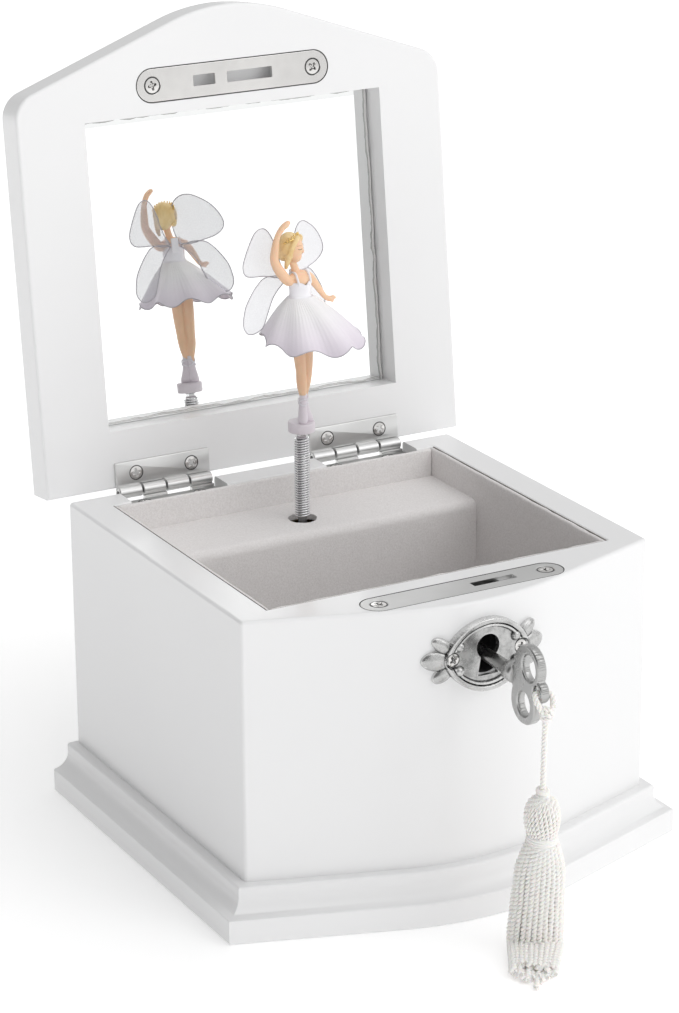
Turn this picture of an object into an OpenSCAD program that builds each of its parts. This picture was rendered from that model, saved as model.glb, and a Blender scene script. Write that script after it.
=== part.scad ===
// Wind-up music box with a folding dancer, a lock with its key and tassel, and a mirrored lid.
// Frame: millimetres, +Z up, front towards -Y. The origin is on the underside, midway between
// the rear face and the front corners. The lid stands open, resting on its hinge stop.

/* [Case] */
// Width of the case
body_w = 140; // [120:1:170]
// Distance from the rear face to the front corners
body_d = 119; // [110:1:130]
// Height of the rim above the table
rim_h = 98.4; // [94:0.1:100]
// Thickness of the side walls, lining excluded
side_wall = 11.2; // [9:0.1:12]
// Thickness of the rear wall
rear_wall = 9.6; // [8:0.1:11]
// Thickness of the front wall at its corners
front_wall = 5; // [4:0.1:8]
// How far the bowed front stands out at its middle
front_bow = 19.5; // [15:0.5:24]
// Angle of the straight flanks of the bowed front
flank_angle = 19; // [15:0.5:22]
// Thickness of the velvet lining boards
lining = 1.5; // [1:0.1:2.5]

/* [Base moulding] */
// How far the moulding stands out from the case
moulding_out = 8.6; // [6:0.1:12]
// Height of the moulding
moulding_h = 16; // [12:0.5:20]

/* [Platform] */
// Drop from the rim to the top of the platform
platform_drop = 9.7; // [8:0.1:14]
// Depth of the platform, from the rear lining to its front edge
platform_d = 30; // [26:0.5:34]

/* [Lid] */
// Angle of the open lid from closed
lid_open = 96.3; // [90:0.1:110]
// Width of the lid
lid_w = 151.4; // [148:0.1:160]
// Thickness of the lid
lid_t = 12.2; // [11:0.1:15]
// Length of the lid at its middle
lid_len = 149.6; // [140:0.1:155]
// Width of the mirror opening
mirror_w = 105.4; // [90:0.1:115]
// Depth of the mirror opening
mirror_pocket = 10.4; // [8:0.1:10.6]

/* [Lock] */
// Sideways place of the keyhole
lock_x = 0.4; // [0:0.1:1]
// Height of the key above the table
key_z = 81.2; // [80.8:0.1:81.6]
// Length that the key comes out of the front
key_reach = 33; // [30:0.1:38]

/* [Dancer] */
// Height of the dancer over its disc
doll_h = 64; // [50:1:66]
// Radius of the coiled shaft
coil_r = 2.55; // [2.2:0.05:3]

/* [Hidden] */
$fn = 64;
eps = 0.01;

// case
half_w = body_w / 2;
rear_y = body_d / 2;
corner_y = -body_d / 2;
apex_y = corner_y - front_bow;
felt_t = 0.8;
in_x = half_w - side_wall;
in_rear = rear_y - rear_wall;
in_front = corner_y + front_wall;
lined_x = in_x - lining;
lined_rear = in_rear - lining;
lined_front = in_front + lining;
bottom_top = 4.6;
floor_top = 5.8;
lining_top = rim_h - 0.4;
platform_z = rim_h - platform_drop;
platform_t = 2;
platform_y = lined_rear - platform_d + lining;
shaft_y = 33.1;
shaft_hole_r = 4.6;

// lid, drawn closed and then swung open
pin_y = 61.2;
pin_z = 97.5;
lid_gap = 0.3;
lid_z = rim_h + lid_gap;
lid_rear = 59.85;
lid_flank = 19.8;
lid_corner_s = 126.1;
lid_corner_r = 9;
mirror_s0 = 18.8;
mirror_s1 = 117.4;
mirror_t = 1.6;
plate_y = -66.8;
plate_half = 34.1;
plate_r = 5.3;
plate_t = 1.2;
plate_screw_x = 28.6;

// hinges
hinge_x0 = 18.5;
hinge_len = 33.5;
knuckle_r = 2;
knuckle_gap = 0.15;
pin_r = 0.8;
bore_r = 0.85;
leaf_t = 1;
leaf_front = 51.4;
mortise_z = 94.3;
hinge_screw_x = [25.1, 44.8];
hinge_screw_y = 55.4;

// lock
hook_x = -1;
hook_z = 91;
hook_r0 = 9;
hook_r1 = 11.5;
hook_t = 1.8;
case_x0 = -8;
case_x1 = 13;
case_y0 = -71.2;
case_y1 = -62.3;
case_z0 = 72;
case_top = rim_h - plate_t + 0.1;
case_wall = 0.8;
bit_r = 5.6;
shank_r = 2.05;
key_bore_r = 6.9;
oval_a = 14.6;
oval_b = 11.3;
oval_z = 81.9;
plate_back_y = apex_y + 2.8;
bow_end = apex_y - key_reach;
bow_t = 3;
// the bow's circles: place along the key from its end, place up it, and radius
bow_lobes = [[8, 5.2, 6.3], [9.5, -6.6, 6.2], [3.4, -1.2, 3.4]];
bow_holes = [[7.1, 5, 3.4], [9.4, -6.9, 3.3], [3, -1.2, 2.1]];

// tassel: the cord is looped through the key's end hole and hangs down to the knot
cord_r = 1;
cord_route = [
    [2.5, -112.6, 76.4], [3.1, -111.4, 78.4], [2.6, -109.8, 79.8], [1.4, -109.1, 80],
    [-0.6, -109.1, 80], [-1.8, -109.8, 79.8], [-2.3, -111.4, 78.4], [-1.4, -112.6, 76.4],
    [0, -113.1, 74.4], [0.4, -113.1, 72], [0.4, -113.1, 66], [0.4, -113.1, 59],
    [0.4, -113.1, 51.7]
];
tassel_x = 0.4;
tassel_y = -113.1;
knot_top = 51.7;
head_top = 48.4;
band_top = 37.3;
skirt_top = 33.2;
skirt_fold_z = 6;
skirt_reach = 15;
skirt_turn = -29;
skirt_r = 8.6;

// movement
cyl_r = 6;
cyl_z0 = 45.2;
cyl_len = 25;
bed_y = in_rear - 1.6;
bed_t = 1.6;
arbor_r = 1.4;
run = 0.05;
notes = 18;
note_pitch = 1.36;
barrel_z = 29;
crown_r = 12;
crown_pegs = 24;
pinion_teeth = 8;
barrel_face = shaft_y + 5.2;
second_x = 10;
fan_x = 19.2;
spindle_top = 94;

// dancer
disc_z = 118.1;
disc_t = 3.3;
disc_r = 4.3;
coil_z0 = 89.2;
coil_z1 = 116.1;
doll_z = disc_z + disc_t;
waist_z = doll_z + 0.65 * doll_h;
hem_r = 16.2;

// ---------- shared shapes ----------

// Straight flanks meeting in a round middle: corners at (+-w, yc), apex at (0, ya), back edge at yb.
module bowed(w, yc, ya, yb, angle) {
    cut = (abs(ya) - abs(yc)) - w * tan(angle);
    r = -cut / (1 / cos(angle) - 1);
    xt = r * sin(angle);
    yt = yc - (w - xt) * tan(angle);
    polygon([[-w, yb], [-w, yc], [-xt, yt], [xt, yt], [w, yc], [w, yb]]);
    intersection() {
        translate([0, ya + r]) circle(r, $fn = 200);
        translate([-xt, ya - 1]) square([2 * xt, yt - ya + 1.01]);
    }
}

function bow_r(w, rise, angle) = (w * tan(angle) - rise) / (1 / cos(angle) - 1);

module box(x0, x1, y0, y1, z0, z1) {
    translate([x0, y0, z0]) cube([x1 - x0, y1 - y0, z1 - z0]);
}

// A cylinder along Y from y0 to y1.
module rod_y(x, z, r, y0, y1) {
    translate([x, y1, z]) rotate([90, 0, 0]) cylinder(r = r, h = y1 - y0);
}

// A cylinder along X from x0 to x1.
module rod_x(y, z, r, x0, x1) {
    translate([x0, y, z]) rotate([0, 90, 0]) cylinder(r = r, h = x1 - x0);
}

module stadium(half, r, z0, z1) {
    translate([0, 0, z0]) linear_extrude(z1 - z0) {
        for (side = [-1, 1]) translate([side * (half - r), 0]) circle(r);
        square([2 * (half - r), 2 * r], center = true);
    }
}

module cross_slot(reach) {
    for (turn = [20, 110]) rotate(turn) translate([-reach, -0.3, -0.7]) cube([2 * reach, 0.6, 1]);
}

// A cross-head screw pointing down, its head's top at z = 0.
module screw(head_r, shank_r, length) {
    difference() {
        union() {
            translate([0, 0, -0.5]) cylinder(r = head_r, h = 0.5);
            translate([0, 0, -0.5 - head_r + shank_r])
                cylinder(r1 = shank_r, r2 = head_r, h = head_r - shank_r);
            translate([0, 0, -length]) cylinder(r = shank_r, h = length - 0.5 - head_r + shank_r + eps);
        }
        cross_slot(head_r * 0.6);
    }
}

// The hole that a screw sits in.
module screw_sink(head_r, shank_r, length) {
    translate([0, 0, -0.5]) cylinder(r = head_r, h = 2);
    translate([0, 0, -0.5 - head_r + shank_r]) cylinder(r1 = shank_r, r2 = head_r, h = head_r - shank_r);
    translate([0, 0, -length]) cylinder(r = shank_r, h = length);
}

// A spur gear with slim straight-sided teeth.
module gear(teeth, m, h, bore) {
    pitch_r = teeth * m / 2;
    root_r = pitch_r - 1.3 * m;
    tip_r = pitch_r + 0.75 * m;
    linear_extrude(h) difference() {
        union() {
            circle(root_r);
            for (i = [0:teeth - 1]) rotate(i * 360 / teeth)
                polygon([
                    [root_r - 0.3, -0.65 * m], [tip_r, -0.3 * m], [tip_r, 0.3 * m], [root_r - 0.3, 0.65 * m]
                ]);
        }
        circle(bore);
    }
}

// ---------- case ----------

module front_shape(yb) {
    bowed(half_w, corner_y, apex_y, yb, flank_angle);
}

module wall_panel(x0, x1) {
    color("white") box(x0, x1, in_front, rear_y, felt_t, rim_h);
}

module left_side_panel() {
    wall_panel(-half_w, -in_x);
}

module right_side_panel() {
    wall_panel(in_x, half_w);
}

module rear_panel() {
    color("white") difference() {
        box(-in_x, in_x, in_rear, rear_y, felt_t, rim_h);
        for (side = [-1, 1]) {
            mid = side * (hinge_x0 + hinge_len / 2);
            half = hinge_len / 2 + 0.3;
            box(mid - half, mid + half, in_rear - 1, rear_y + 1, mortise_z, rim_h + 1);
        }
        place_case_screws() screw_sink(2.4, 0.9, 8);
        rod_y(0, barrel_z, 3.2, in_rear - 1, rear_y + 1);
        place_bed_screws() screw_sink(1.9, 0.9, 9);
    }
}

module front_panel() {
    color("white") difference() {
        translate([0, 0, felt_t]) linear_extrude(rim_h - felt_t) front_shape(in_front);
        translate([0, plate_y, 0]) stadium(plate_half, plate_r, rim_h - plate_t, rim_h + 1);
        box(case_x0 - 0.2, case_x1 + 0.2, case_y0 - 0.2, case_y1 + 0.2, case_z0 - 0.2, rim_h + 1);
        rod_y(lock_x, key_z, key_bore_r, apex_y - 1, case_y0);
        on_front(plate_back_y, apex_y - 6) escutcheon_outline();
        place_lock_screws() screw_sink(2.7, 1.1, 11);
        place_escutcheon_screws() translate([0, 0, -12]) cylinder(r = 0.75, h = 13);
    }
}

module bottom_panel() {
    color("burlywood") box(-in_x, in_x, in_front, in_rear, felt_t, bottom_top);
}

module base_felt() {
    color("gainsboro") box(-half_w + 1, half_w - 1, corner_y + 1, rear_y - 1, 0, felt_t);
}

// Moulding section: r runs outwards from the case, z upwards.
module moulding_section() {
    cove = 5.2;
    ledge = moulding_out - cove;
    cove_z = moulding_h - 2.8;
    difference() {
        polygon([
            [0, 0], [moulding_out - 1, 0], [moulding_out, 1], [moulding_out, cove_z], [ledge, cove_z],
            [ledge, moulding_h - 1], [ledge - 1, moulding_h], [0, moulding_h]
        ]);
        translate([moulding_out, cove_z]) circle(cove);
    }
}

module mitre(side) {
    n = [sin(flank_angle) + 1, cos(flank_angle)];
    far = 30 / norm(n) * n;
    translate([0, 0, -1]) linear_extrude(moulding_h + 2) polygon([
        [side * half_w, corner_y], [side * (half_w + far[0]), corner_y - far[1]],
        [side * (half_w + far[0]), rear_y], [side * half_w, rear_y]
    ]);
}

module moulding_side(side) {
    color("white") intersection() {
        translate([side * half_w, rear_y, 0]) rotate([90, 0, 0])
            linear_extrude(body_d + 20) mirror([side < 0 ? 1 : 0, 0]) moulding_section();
        mitre(side);
    }
}

module moulding_left() {
    moulding_side(-1);
}

module moulding_right() {
    moulding_side(1);
}

module moulding_front() {
    r = bow_r(half_w, front_bow, flank_angle);
    flank = (half_w - r * sin(flank_angle)) / cos(flank_angle);
    color("white") difference() {
        union() {
            for (side = [-1, 1]) mirror([side > 0 ? 1 : 0, 0, 0])
                translate([0, apex_y + r, 0]) rotate([0, 0, -90 - flank_angle]) translate([r, 0, 0])
                    rotate([90, 0, 0]) linear_extrude(flank + 20) moulding_section();
            translate([0, apex_y + r, 0]) rotate([0, 0, -90 - flank_angle])
                rotate_extrude(angle = 2 * flank_angle, $fn = 200) translate([r, 0]) moulding_section();
        }
        mitre(-1);
        mitre(1);
        box(-half_w - 40, half_w + 40, corner_y, rear_y, -1, moulding_h + 1);
    }
}

// ---------- lining and platform ----------

module lining_board(x0, x1, y0, y1, z0, z1) {
    color("lightgray") box(x0, x1, y0, y1, z0, z1);
}

module lining_left() {
    lining_board(-in_x, -lined_x, in_front, in_rear, bottom_top, lining_top);
}

module lining_right() {
    lining_board(lined_x, in_x, in_front, in_rear, bottom_top, lining_top);
}

module lining_front() {
    lining_board(-lined_x, lined_x, in_front, lined_front, bottom_top, lining_top);
}

module lining_rear() {
    lining_board(-lined_x, lined_x, lined_rear, in_rear, platform_z - platform_t, lining_top);
}

module lining_floor() {
    lining_board(-lined_x, lined_x, lined_front, platform_y, bottom_top, floor_top);
}

module platform_top() {
    color("lightgray") difference() {
        box(-lined_x, lined_x, platform_y, lined_rear, platform_z - platform_t, platform_z);
        translate([0, shaft_y, 0]) cylinder(r = shaft_hole_r, h = rim_h);
    }
}

module platform_front() {
    top = platform_z - platform_t;
    lining_board(-lined_x, lined_x, platform_y, platform_y + platform_t, bottom_top, top);
}

// ---------- lid ----------

// Swings what is drawn closed about the hinge pin to the open lid.
module opened() {
    translate([0, pin_y, pin_z]) rotate([-lid_open, 0, 0]) translate([0, -pin_y, -pin_z]) children();
}

// Points on an arc about c, from angle a0 to a1.
function arc(c, r, a0, a1, steps) = [
    for (i = [0:steps]) let (a = a0 + (a1 - a0) * i / steps) c + r * [cos(a), sin(a)]
];

// Half of the lid's outline, from the right rear corner to the apex.
function lid_half() = let (
    w = lid_w / 2,
    rise = lid_len - lid_corner_s,
    r = bow_r(w, rise, lid_flank),
    set_in = lid_corner_r * tan((90 - lid_flank) / 2)
) concat(
    [[w, lid_rear]],
    arc([w - lid_corner_r, lid_rear - lid_corner_s + set_in], lid_corner_r, 0, lid_flank - 90, 8),
    arc([0, lid_rear - lid_len + r], r, lid_flank - 90, -90, 12)
);

module lid_outline() {
    half = lid_half();
    n = len(half);
    polygon(concat(half, [for (i = [n - 2:-1:0]) [-half[i][0], half[i][1]]]));
}

module mirror_area(z0, z1) {
    box(-mirror_w / 2, mirror_w / 2, lid_rear - mirror_s1, lid_rear - mirror_s0, z0, z1);
}

module lid_board() {
    opened() color("white") difference() {
        translate([0, 0, lid_z]) linear_extrude(lid_t) lid_outline();
        mirror_area(lid_z - 1, lid_z + mirror_pocket);
        translate([0, plate_y, 0]) stadium(plate_half, plate_r, lid_z - 1, lid_z + plate_t);
        box(-16, 16, plate_y - 2.2, plate_y + 2.2, lid_z - 1, lid_z + 5);
        for (side = [-1, 1]) {
            mid = side * (hinge_x0 + hinge_len / 2);
            half = hinge_len / 2 + 0.3;
            rod_x(pin_y, pin_z, knuckle_r + 0.2, mid - half, mid + half);
        }
        place_lid_screws() screw_sink(2.65, 1.1, 8);
        place_strike_screws() screw_sink(2.75, 1.1, 9);
    }
}

module mirror_glass() {
    opened() color("lightsteelblue")
        mirror_area(lid_z + mirror_pocket - mirror_t, lid_z + mirror_pocket);
}

module strike_plate() {
    opened() color("silver") difference() {
        translate([0, plate_y, 0]) stadium(plate_half, plate_r, lid_z, lid_z + plate_t);
        box(-14.3, -6.5, plate_y - 1.75, plate_y + 1.75, lid_z - 1, lid_z + 2);
        box(-2.3, 13.9, plate_y - 1.75, plate_y + 1.75, lid_z - 1, lid_z + 2);
        place_strike_screws() screw_sink(2.75, 1.1, 9);
    }
}

module place_strike_screws() {
    for (side = [-1, 1]) translate([side * plate_screw_x, plate_y, lid_z]) rotate([180, 0, 0]) children();
}

module strike_plate_screws() {
    opened() color("silver") place_strike_screws() screw(2.75, 1.1, 9);
}

// ---------- hinges ----------

// Where knuckle i of 4 starts and ends, counted from the left.
function knuckle_from(side, i) = side * (hinge_x0 + hinge_len / 2) - hinge_len / 2 + i * hinge_len / 4;

module hinge_leaves(upper) {
    for (side = [-1, 1]) difference() {
        union() {
            x0 = knuckle_from(side, 0);
            z0 = upper ? lid_z - leaf_t : mortise_z;
            box(x0, x0 + hinge_len, leaf_front, pin_y - knuckle_r - 0.2, z0, z0 + leaf_t);
            for (i = upper ? [0, 2] : [1, 3]) {
                k0 = knuckle_from(side, i) + knuckle_gap / 2;
                k1 = k0 + hinge_len / 4 - knuckle_gap;
                rod_x(pin_y, pin_z, knuckle_r, k0, k1);
                if (upper) box(k0, k1, pin_y - knuckle_r - 0.4, pin_y, lid_z - leaf_t, lid_z);
                else box(k0, k1, pin_y - knuckle_r - 0.4, pin_y, mortise_z, mortise_z + 1.8);
            }
        }
        rod_x(pin_y, pin_z, bore_r, knuckle_from(side, 0) - 1, knuckle_from(side, 4) + 1);
        if (upper) place_lid_screws() screw_sink(2.65, 1.1, 8);
        else place_case_screws() screw_sink(2.4, 0.9, 8);
    }
}

module hinge_upper_leaves() {
    opened() color("silver") hinge_leaves(true);
}

module hinge_lower_leaves() {
    color("silver") hinge_leaves(false);
}

module hinge_pins() {
    color("silver") for (side = [-1, 1])
        rod_x(pin_y, pin_z, pin_r, knuckle_from(side, 0), knuckle_from(side, 4));
}

module place_lid_screws() {
    for (side = [-1, 1]) for (x = hinge_screw_x)
        translate([side * x, hinge_screw_y, lid_z - leaf_t - 0.3]) rotate([180, 0, 0]) children();
}

module hinge_lid_screws() {
    opened() color("silver") place_lid_screws() screw(2.65, 1.1, 8);
}

module place_case_screws() {
    for (side = [-1, 1]) for (x = hinge_screw_x)
        translate([side * x, hinge_screw_y, mortise_z + leaf_t + 0.2]) children();
}

module hinge_case_screws() {
    color("silver") place_case_screws() screw(2.4, 0.9, 8);
}

// ---------- lock ----------

module lock_plate() {
    color("silver") difference() {
        translate([0, plate_y, 0]) stadium(plate_half, plate_r, rim_h - plate_t, rim_h);
        box(3.05, 17.9, plate_y - 1.5, plate_y + 1.5, rim_h - 2, rim_h + 1);
        place_lock_screws() screw_sink(2.7, 1.1, 11);
    }
}

module place_lock_screws() {
    for (side = [-1, 1]) translate([side * plate_screw_x, plate_y, rim_h]) children();
}

module lock_plate_screws() {
    color("silver") place_lock_screws() screw(2.7, 1.1, 11);
}

module lock_case() {
    color("silver") {
        difference() {
            box(case_x0, case_x1, case_y0, case_y1, case_z0, case_top - 0.1);
            box(
                case_x0 + case_wall, case_x1 - case_wall, case_y0 + case_wall, case_y1 - case_wall,
                case_z0 + case_wall, case_top + 1
            );
            rod_y(lock_x, key_z, 2.9, case_y0 - 1, case_y0 + 2);
            box(lock_x - 1.5, lock_x + 1.5, case_y0 - 1, case_y0 + 2, key_z - bit_r - 0.6, key_z);
        }
        rod_y(hook_x, hook_z, 1.2, case_y0 + case_wall - eps, case_y1 - case_wall + eps);
        rod_y(lock_x, key_z, 0.8, case_y1 - 2.4, case_y1 - case_wall + eps);
    }
}

// A turning collar behind the front wall of the case, slotted for the key's bit.
module lock_tumbler() {
    color("goldenrod") difference() {
        rod_y(lock_x, key_z, 7.1, case_y0 + case_wall + 0.1, case_y0 + case_wall + 1.3);
        rod_y(lock_x, key_z, shank_r + 0.15, case_y0, case_y0 + 4);
        box(lock_x - 1.2, lock_x + 1.2, case_y0, case_y0 + 4, key_z - bit_r - 0.3, key_z);
    }
}

module ring_sector(r0, r1, a0, a1) {
    intersection() {
        difference() {
            circle(r1);
            if (r0 > 0) circle(r0);
        }
        polygon(concat([[0, 0]], arc([0, 0], 30, a0, a1, 2)));
    }
}

// A curved bolt that swings up through the plate's slot, with a tail that the bit pushes.
module lock_hook() {
    color("goldenrod") translate([hook_x, plate_y + hook_t / 2, hook_z]) rotate([90, 0, 0])
        linear_extrude(hook_t) difference() {
            union() {
                ring_sector(hook_r0, hook_r1, -45, 31);
                ring_sector(0, hook_r0 + 0.5, -45, -20);
                circle(3);
                rotate(-112) translate([0, -0.9]) square([5.4, 1.8]);
            }
            circle(1.25);
        }
}

// An oval whose upper and lower edges are arcs that meet in points at the ends.
module oval(a, b) {
    r = (a * a + b * b) / (2 * b);
    intersection() {
        translate([0, r - b]) circle(r, $fn = 120);
        translate([0, b - r]) circle(r, $fn = 120);
    }
}

// Draws what is drawn in x and z about the oval's centre, from y0 forwards to y1.
module on_front(y0, y1) {
    translate([lock_x, y0, oval_z]) rotate([90, 0, 0]) linear_extrude(y0 - y1) children();
}

module escutcheon_outline() {
    oval(oval_a, oval_b);
    for (side = [-1, 1]) {
        translate([side * 17.2, 0]) circle(3.4);
        for (up = [-1, 1]) translate([side * 14.8, up * 4]) circle(2.7);
    }
}

module keyhole() {
    translate([0, 84.2 - oval_z]) circle(3.9);
    polygon([[-2.5, 82.5 - oval_z], [-3.5, 75.3 - oval_z], [3.5, 75.3 - oval_z], [2.5, 82.5 - oval_z]]);
}

module escutcheon() {
    color("gray") difference() {
        union() {
            on_front(plate_back_y, apex_y - 1.6) escutcheon_outline();
            on_front(apex_y - 1.5, apex_y - 2.8) difference() {
                oval(oval_a, oval_b);
                oval(oval_a - 2.2, oval_b - 2.2);
            }
        }
        on_front(plate_back_y + 1, apex_y - 6) keyhole();
        place_escutcheon_screws() {
            translate([0, 0, -12]) cylinder(r = 0.75, h = 13);
            translate([0, 0, -1.7]) cylinder(r = 2, h = 3);
        }
    }
}

module place_escutcheon_screws() {
    for (side = [-1, 1])
        translate([lock_x + side * 11.6, apex_y - 3.2, oval_z]) rotate([90, 0, 0]) children();
}

module escutcheon_screws() {
    color("silver") place_escutcheon_screws() difference() {
        union() {
            translate([0, 0, -1.7]) cylinder(r = 1.9, h = 1.7);
            translate([0, 0, -11]) cylinder(r = 0.75, h = 10);
        }
        cross_slot(1.2);
    }
}

module bow_circles(circles) {
    for (c = circles) translate([c[0], c[1]]) circle(c[2]);
}

module lock_key() {
    collar_y = bow_end + 20.2;
    color("gray") difference() {
        union() {
            rod_y(lock_x, key_z, shank_r, collar_y - 1, case_y1 - case_wall - 0.5);
            rod_y(lock_x, key_z, 3.2, collar_y - 4.6, collar_y);
            box(lock_x - 0.95, lock_x + 0.95, plate_y - 2, plate_y + 2.2, key_z - bit_r, key_z);
            translate([lock_x - bow_t / 2, bow_end, key_z]) rotate([90, 0, 90]) linear_extrude(bow_t) {
                bow_circles(bow_lobes);
                translate([4, -5]) square([10.6, 8.6]);
            }
        }
        translate([lock_x - bow_t, bow_end, key_z]) rotate([90, 0, 90]) linear_extrude(2 * bow_t)
            bow_circles(bow_holes);
        rod_y(lock_x, key_z, 0.95, case_y1 - 3.2, case_y1);
    }
}

// ---------- tassel ----------

// A tube swept along a route as one polyhedron.
function unit(v) = v / norm(v);
function tangent(p, i) = unit(p[min(i + 1, len(p) - 1)] - p[max(i - 1, 0)]);
module tube(p, r, sides) {
    side_axis = [0, 1, 0];
    rings = [
        for (i = [0:len(p) - 1]) let (t = tangent(p, i), v = unit(cross(t, side_axis)))
            for (k = [0:sides - 1]) p[i] + r * (cos(360 * k / sides) * side_axis + sin(360 * k / sides) * v)
    ];
    last = (len(p) - 1) * sides;
    faces = concat(
        [[for (k = [0:sides - 1]) k]],
        [[for (k = [0:sides - 1]) last + sides - 1 - k]],
        [
            for (i = [0:len(p) - 2]) for (k = [0:sides - 1]) let (n = (k + 1) % sides)
                [i * sides + k, (i + 1) * sides + k, (i + 1) * sides + n, i * sides + n]
        ]
    );
    polyhedron(rings, faces);
}

module tassel_cord() {
    color("ivory") tube(cord_route, cord_r, 8);
}

module tassel_head() {
    color("ivory") translate([tassel_x, tassel_y, 0]) {
        translate([0, 0, head_top - 0.5]) cylinder(r = 1.9, h = knot_top - head_top + 0.5);
        intersection() {
            translate([0, 0, band_top + 5.2]) sphere(6.8);
            translate([0, 0, band_top]) cylinder(r = 5.4, h = head_top - band_top);
        }
        translate([0, 0, skirt_top]) cylinder(r = 4.6, h = band_top - skirt_top + eps);
    }
}

// The fringe hangs straight, then folds forwards where it meets the table.
module tassel_skirt() {
    color("ivory") translate([tassel_x, tassel_y, 0]) rotate([0, 0, skirt_turn]) {
        translate([0, 0, skirt_fold_z]) cylinder(r1 = skirt_r, r2 = 6.2, h = skirt_top - skirt_fold_z);
        intersection() {
            translate([0, 0, skirt_fold_z]) rotate([0, 90, 0])
                cylinder(r = skirt_fold_z - 0.1, h = 2 * skirt_r, center = true);
            cylinder(r = skirt_r, h = skirt_fold_z + 0.1);
        }
        translate([0, -5, 0]) box(-skirt_r, skirt_r, -skirt_reach, 0, 0.1, 4.6);
    }
}

// ---------- movement ----------

module bedplate() {
    color("goldenrod") difference() {
        box(-31, 24, bed_y, bed_y + bed_t, 13, 82);
        rod_y(0, barrel_z, 2.2 + run, bed_y - 1, in_rear + 1);
        place_bed_screws() screw_sink(1.9, 0.9, 9);
    }
}

module place_bed_screws() {
    for (place = [[-28, 16], [-28, 79], [21, 16], [21, 47]])
        translate([place[0], bed_y - 0.3, place[1]]) rotate([90, 0, 0]) children();
}

module bedplate_screws() {
    color("silver") place_bed_screws() screw(1.9, 0.9, 9);
}

module bearing_plate(x0, x1, z, t) {
    box(x0, x1, shaft_y - 4.5, bed_y, z, z + t);
}

module lower_bearing() {
    color("goldenrod") difference() {
        bearing_plate(-5, 5, cyl_z0 - 2, 1.2);
        translate([0, shaft_y, 0]) cylinder(r = arbor_r + run, h = 60);
    }
}

module governor_frame() {
    color("goldenrod") difference() {
        union() {
            bearing_plate(-5, 23, 80, 1.2);
            bearing_plate(8, 23, 53, 1.2);
            box(8, 23, bed_y - 1.2, bed_y, 53, 81);
        }
        translate([0, shaft_y, 50]) cylinder(r = arbor_r + run, h = 40);
        for (x = [second_x, fan_x]) translate([x, shaft_y, 50]) cylinder(r = 0.6 + run, h = 40);
    }
}

module comb_base() {
    color("goldenrod") difference() {
        box(-30, -20, shaft_y + 1.4, bed_y, cyl_z0, cyl_z0 + cyl_len);
        place_comb_screws() screw_sink(1.8, 0.9, 6);
    }
}

module music_comb() {
    color("gainsboro") difference() {
        box(-30, -7.2, shaft_y, shaft_y + 1.4, cyl_z0, cyl_z0 + cyl_len);
        for (i = [1:notes - 1]) {
            z = cyl_z0 + 0.26 + i * note_pitch;
            box(-19 + 0.2 * i, -7, shaft_y - 1, shaft_y + 3, z - 0.18, z + 0.18);
        }
        place_comb_screws() screw_sink(1.8, 0.9, 6);
    }
}

module place_comb_screws() {
    for (z = [51, 57.7, 64.4]) translate([-25, shaft_y - 0.5, z]) rotate([90, 0, 0]) children();
}

module comb_screws() {
    color("silver") place_comb_screws() screw(1.8, 0.9, 6);
}

module music_cylinder() {
    color("goldenrod") translate([0, shaft_y, cyl_z0 + 0.2]) {
        difference() {
            cylinder(r = cyl_r, h = cyl_len - 0.4);
            translate([0, 0, -1]) cylinder(r = arbor_r, h = cyl_len + 2);
        }
        for (i = [0:notes - 1]) for (k = [0:2])
            rotate([0, 0, 137.5 * i + 120 * k + 31 * (i * k % 3)])
                translate([cyl_r - 0.3, 0, 0.75 + i * note_pitch])
                    rotate([0, 90, 0]) cylinder(r = 0.22, h = 1, $fn = 16);
    }
}

module cylinder_arbor() {
    color("silver") translate([0, shaft_y, cyl_z0 - 6]) cylinder(r = arbor_r, h = spindle_top - cyl_z0 + 6);
}

module crown_pinion() {
    blade = 1;
    color("silver") translate([0, shaft_y, cyl_z0 - 5.7]) linear_extrude(3) difference() {
        union() {
            circle(2.4);
            for (i = [0:pinion_teeth - 1]) rotate((i + 0.5) * 360 / pinion_teeth)
                translate([1, -blade / 2]) square([3.4, blade]);
        }
        circle(arbor_r);
    }
}

module cylinder_gear() {
    color("goldenrod") translate([0, shaft_y, 71.5]) gear(32, 0.5, 1.2, arbor_r);
}

module spring_barrel() {
    color("goldenrod") difference() {
        union() {
            rod_y(0, barrel_z, 13, barrel_face, barrel_face + 1.2);
            rod_y(0, barrel_z, 10.5, barrel_face + 1, 46);
            for (i = [0:crown_pegs - 1]) rotate_about_barrel(i * 360 / crown_pegs)
                rod_y(0, barrel_z + crown_r, 0.55, barrel_face - 2, barrel_face + 0.5);
        }
        rod_y(0, barrel_z, 9.7, barrel_face + 1.2, 45.2);
        rod_y(0, barrel_z, 1.5 + run, barrel_face - 1, 47);
    }
}

module rotate_about_barrel(angle) {
    translate([0, 0, barrel_z]) rotate([0, angle, 0]) translate([0, 0, -barrel_z]) children();
}

module mainspring() {
    turns = 4;
    steps = 18 * turns;
    inner = [for (i = [0:steps]) let (a = 20 * i, r = 2.4 + 6.6 * i / steps) [r * cos(a), r * sin(a)]];
    outer = [for (i = [steps:-1:0]) let (a = 20 * i, r = 2.75 + 6.6 * i / steps) [r * cos(a), r * sin(a)]];
    color("steelblue") translate([0, 44.8, barrel_z]) rotate([90, 0, 0])
        linear_extrude(4.6) polygon(concat(inner, outer));
}

module winding_arbor() {
    color("silver") {
        rod_y(0, barrel_z, 1.5, barrel_face - 0.6, 46.8);
        rod_y(0, barrel_z, 2.2, 46.7, 66);
    }
}

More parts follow.
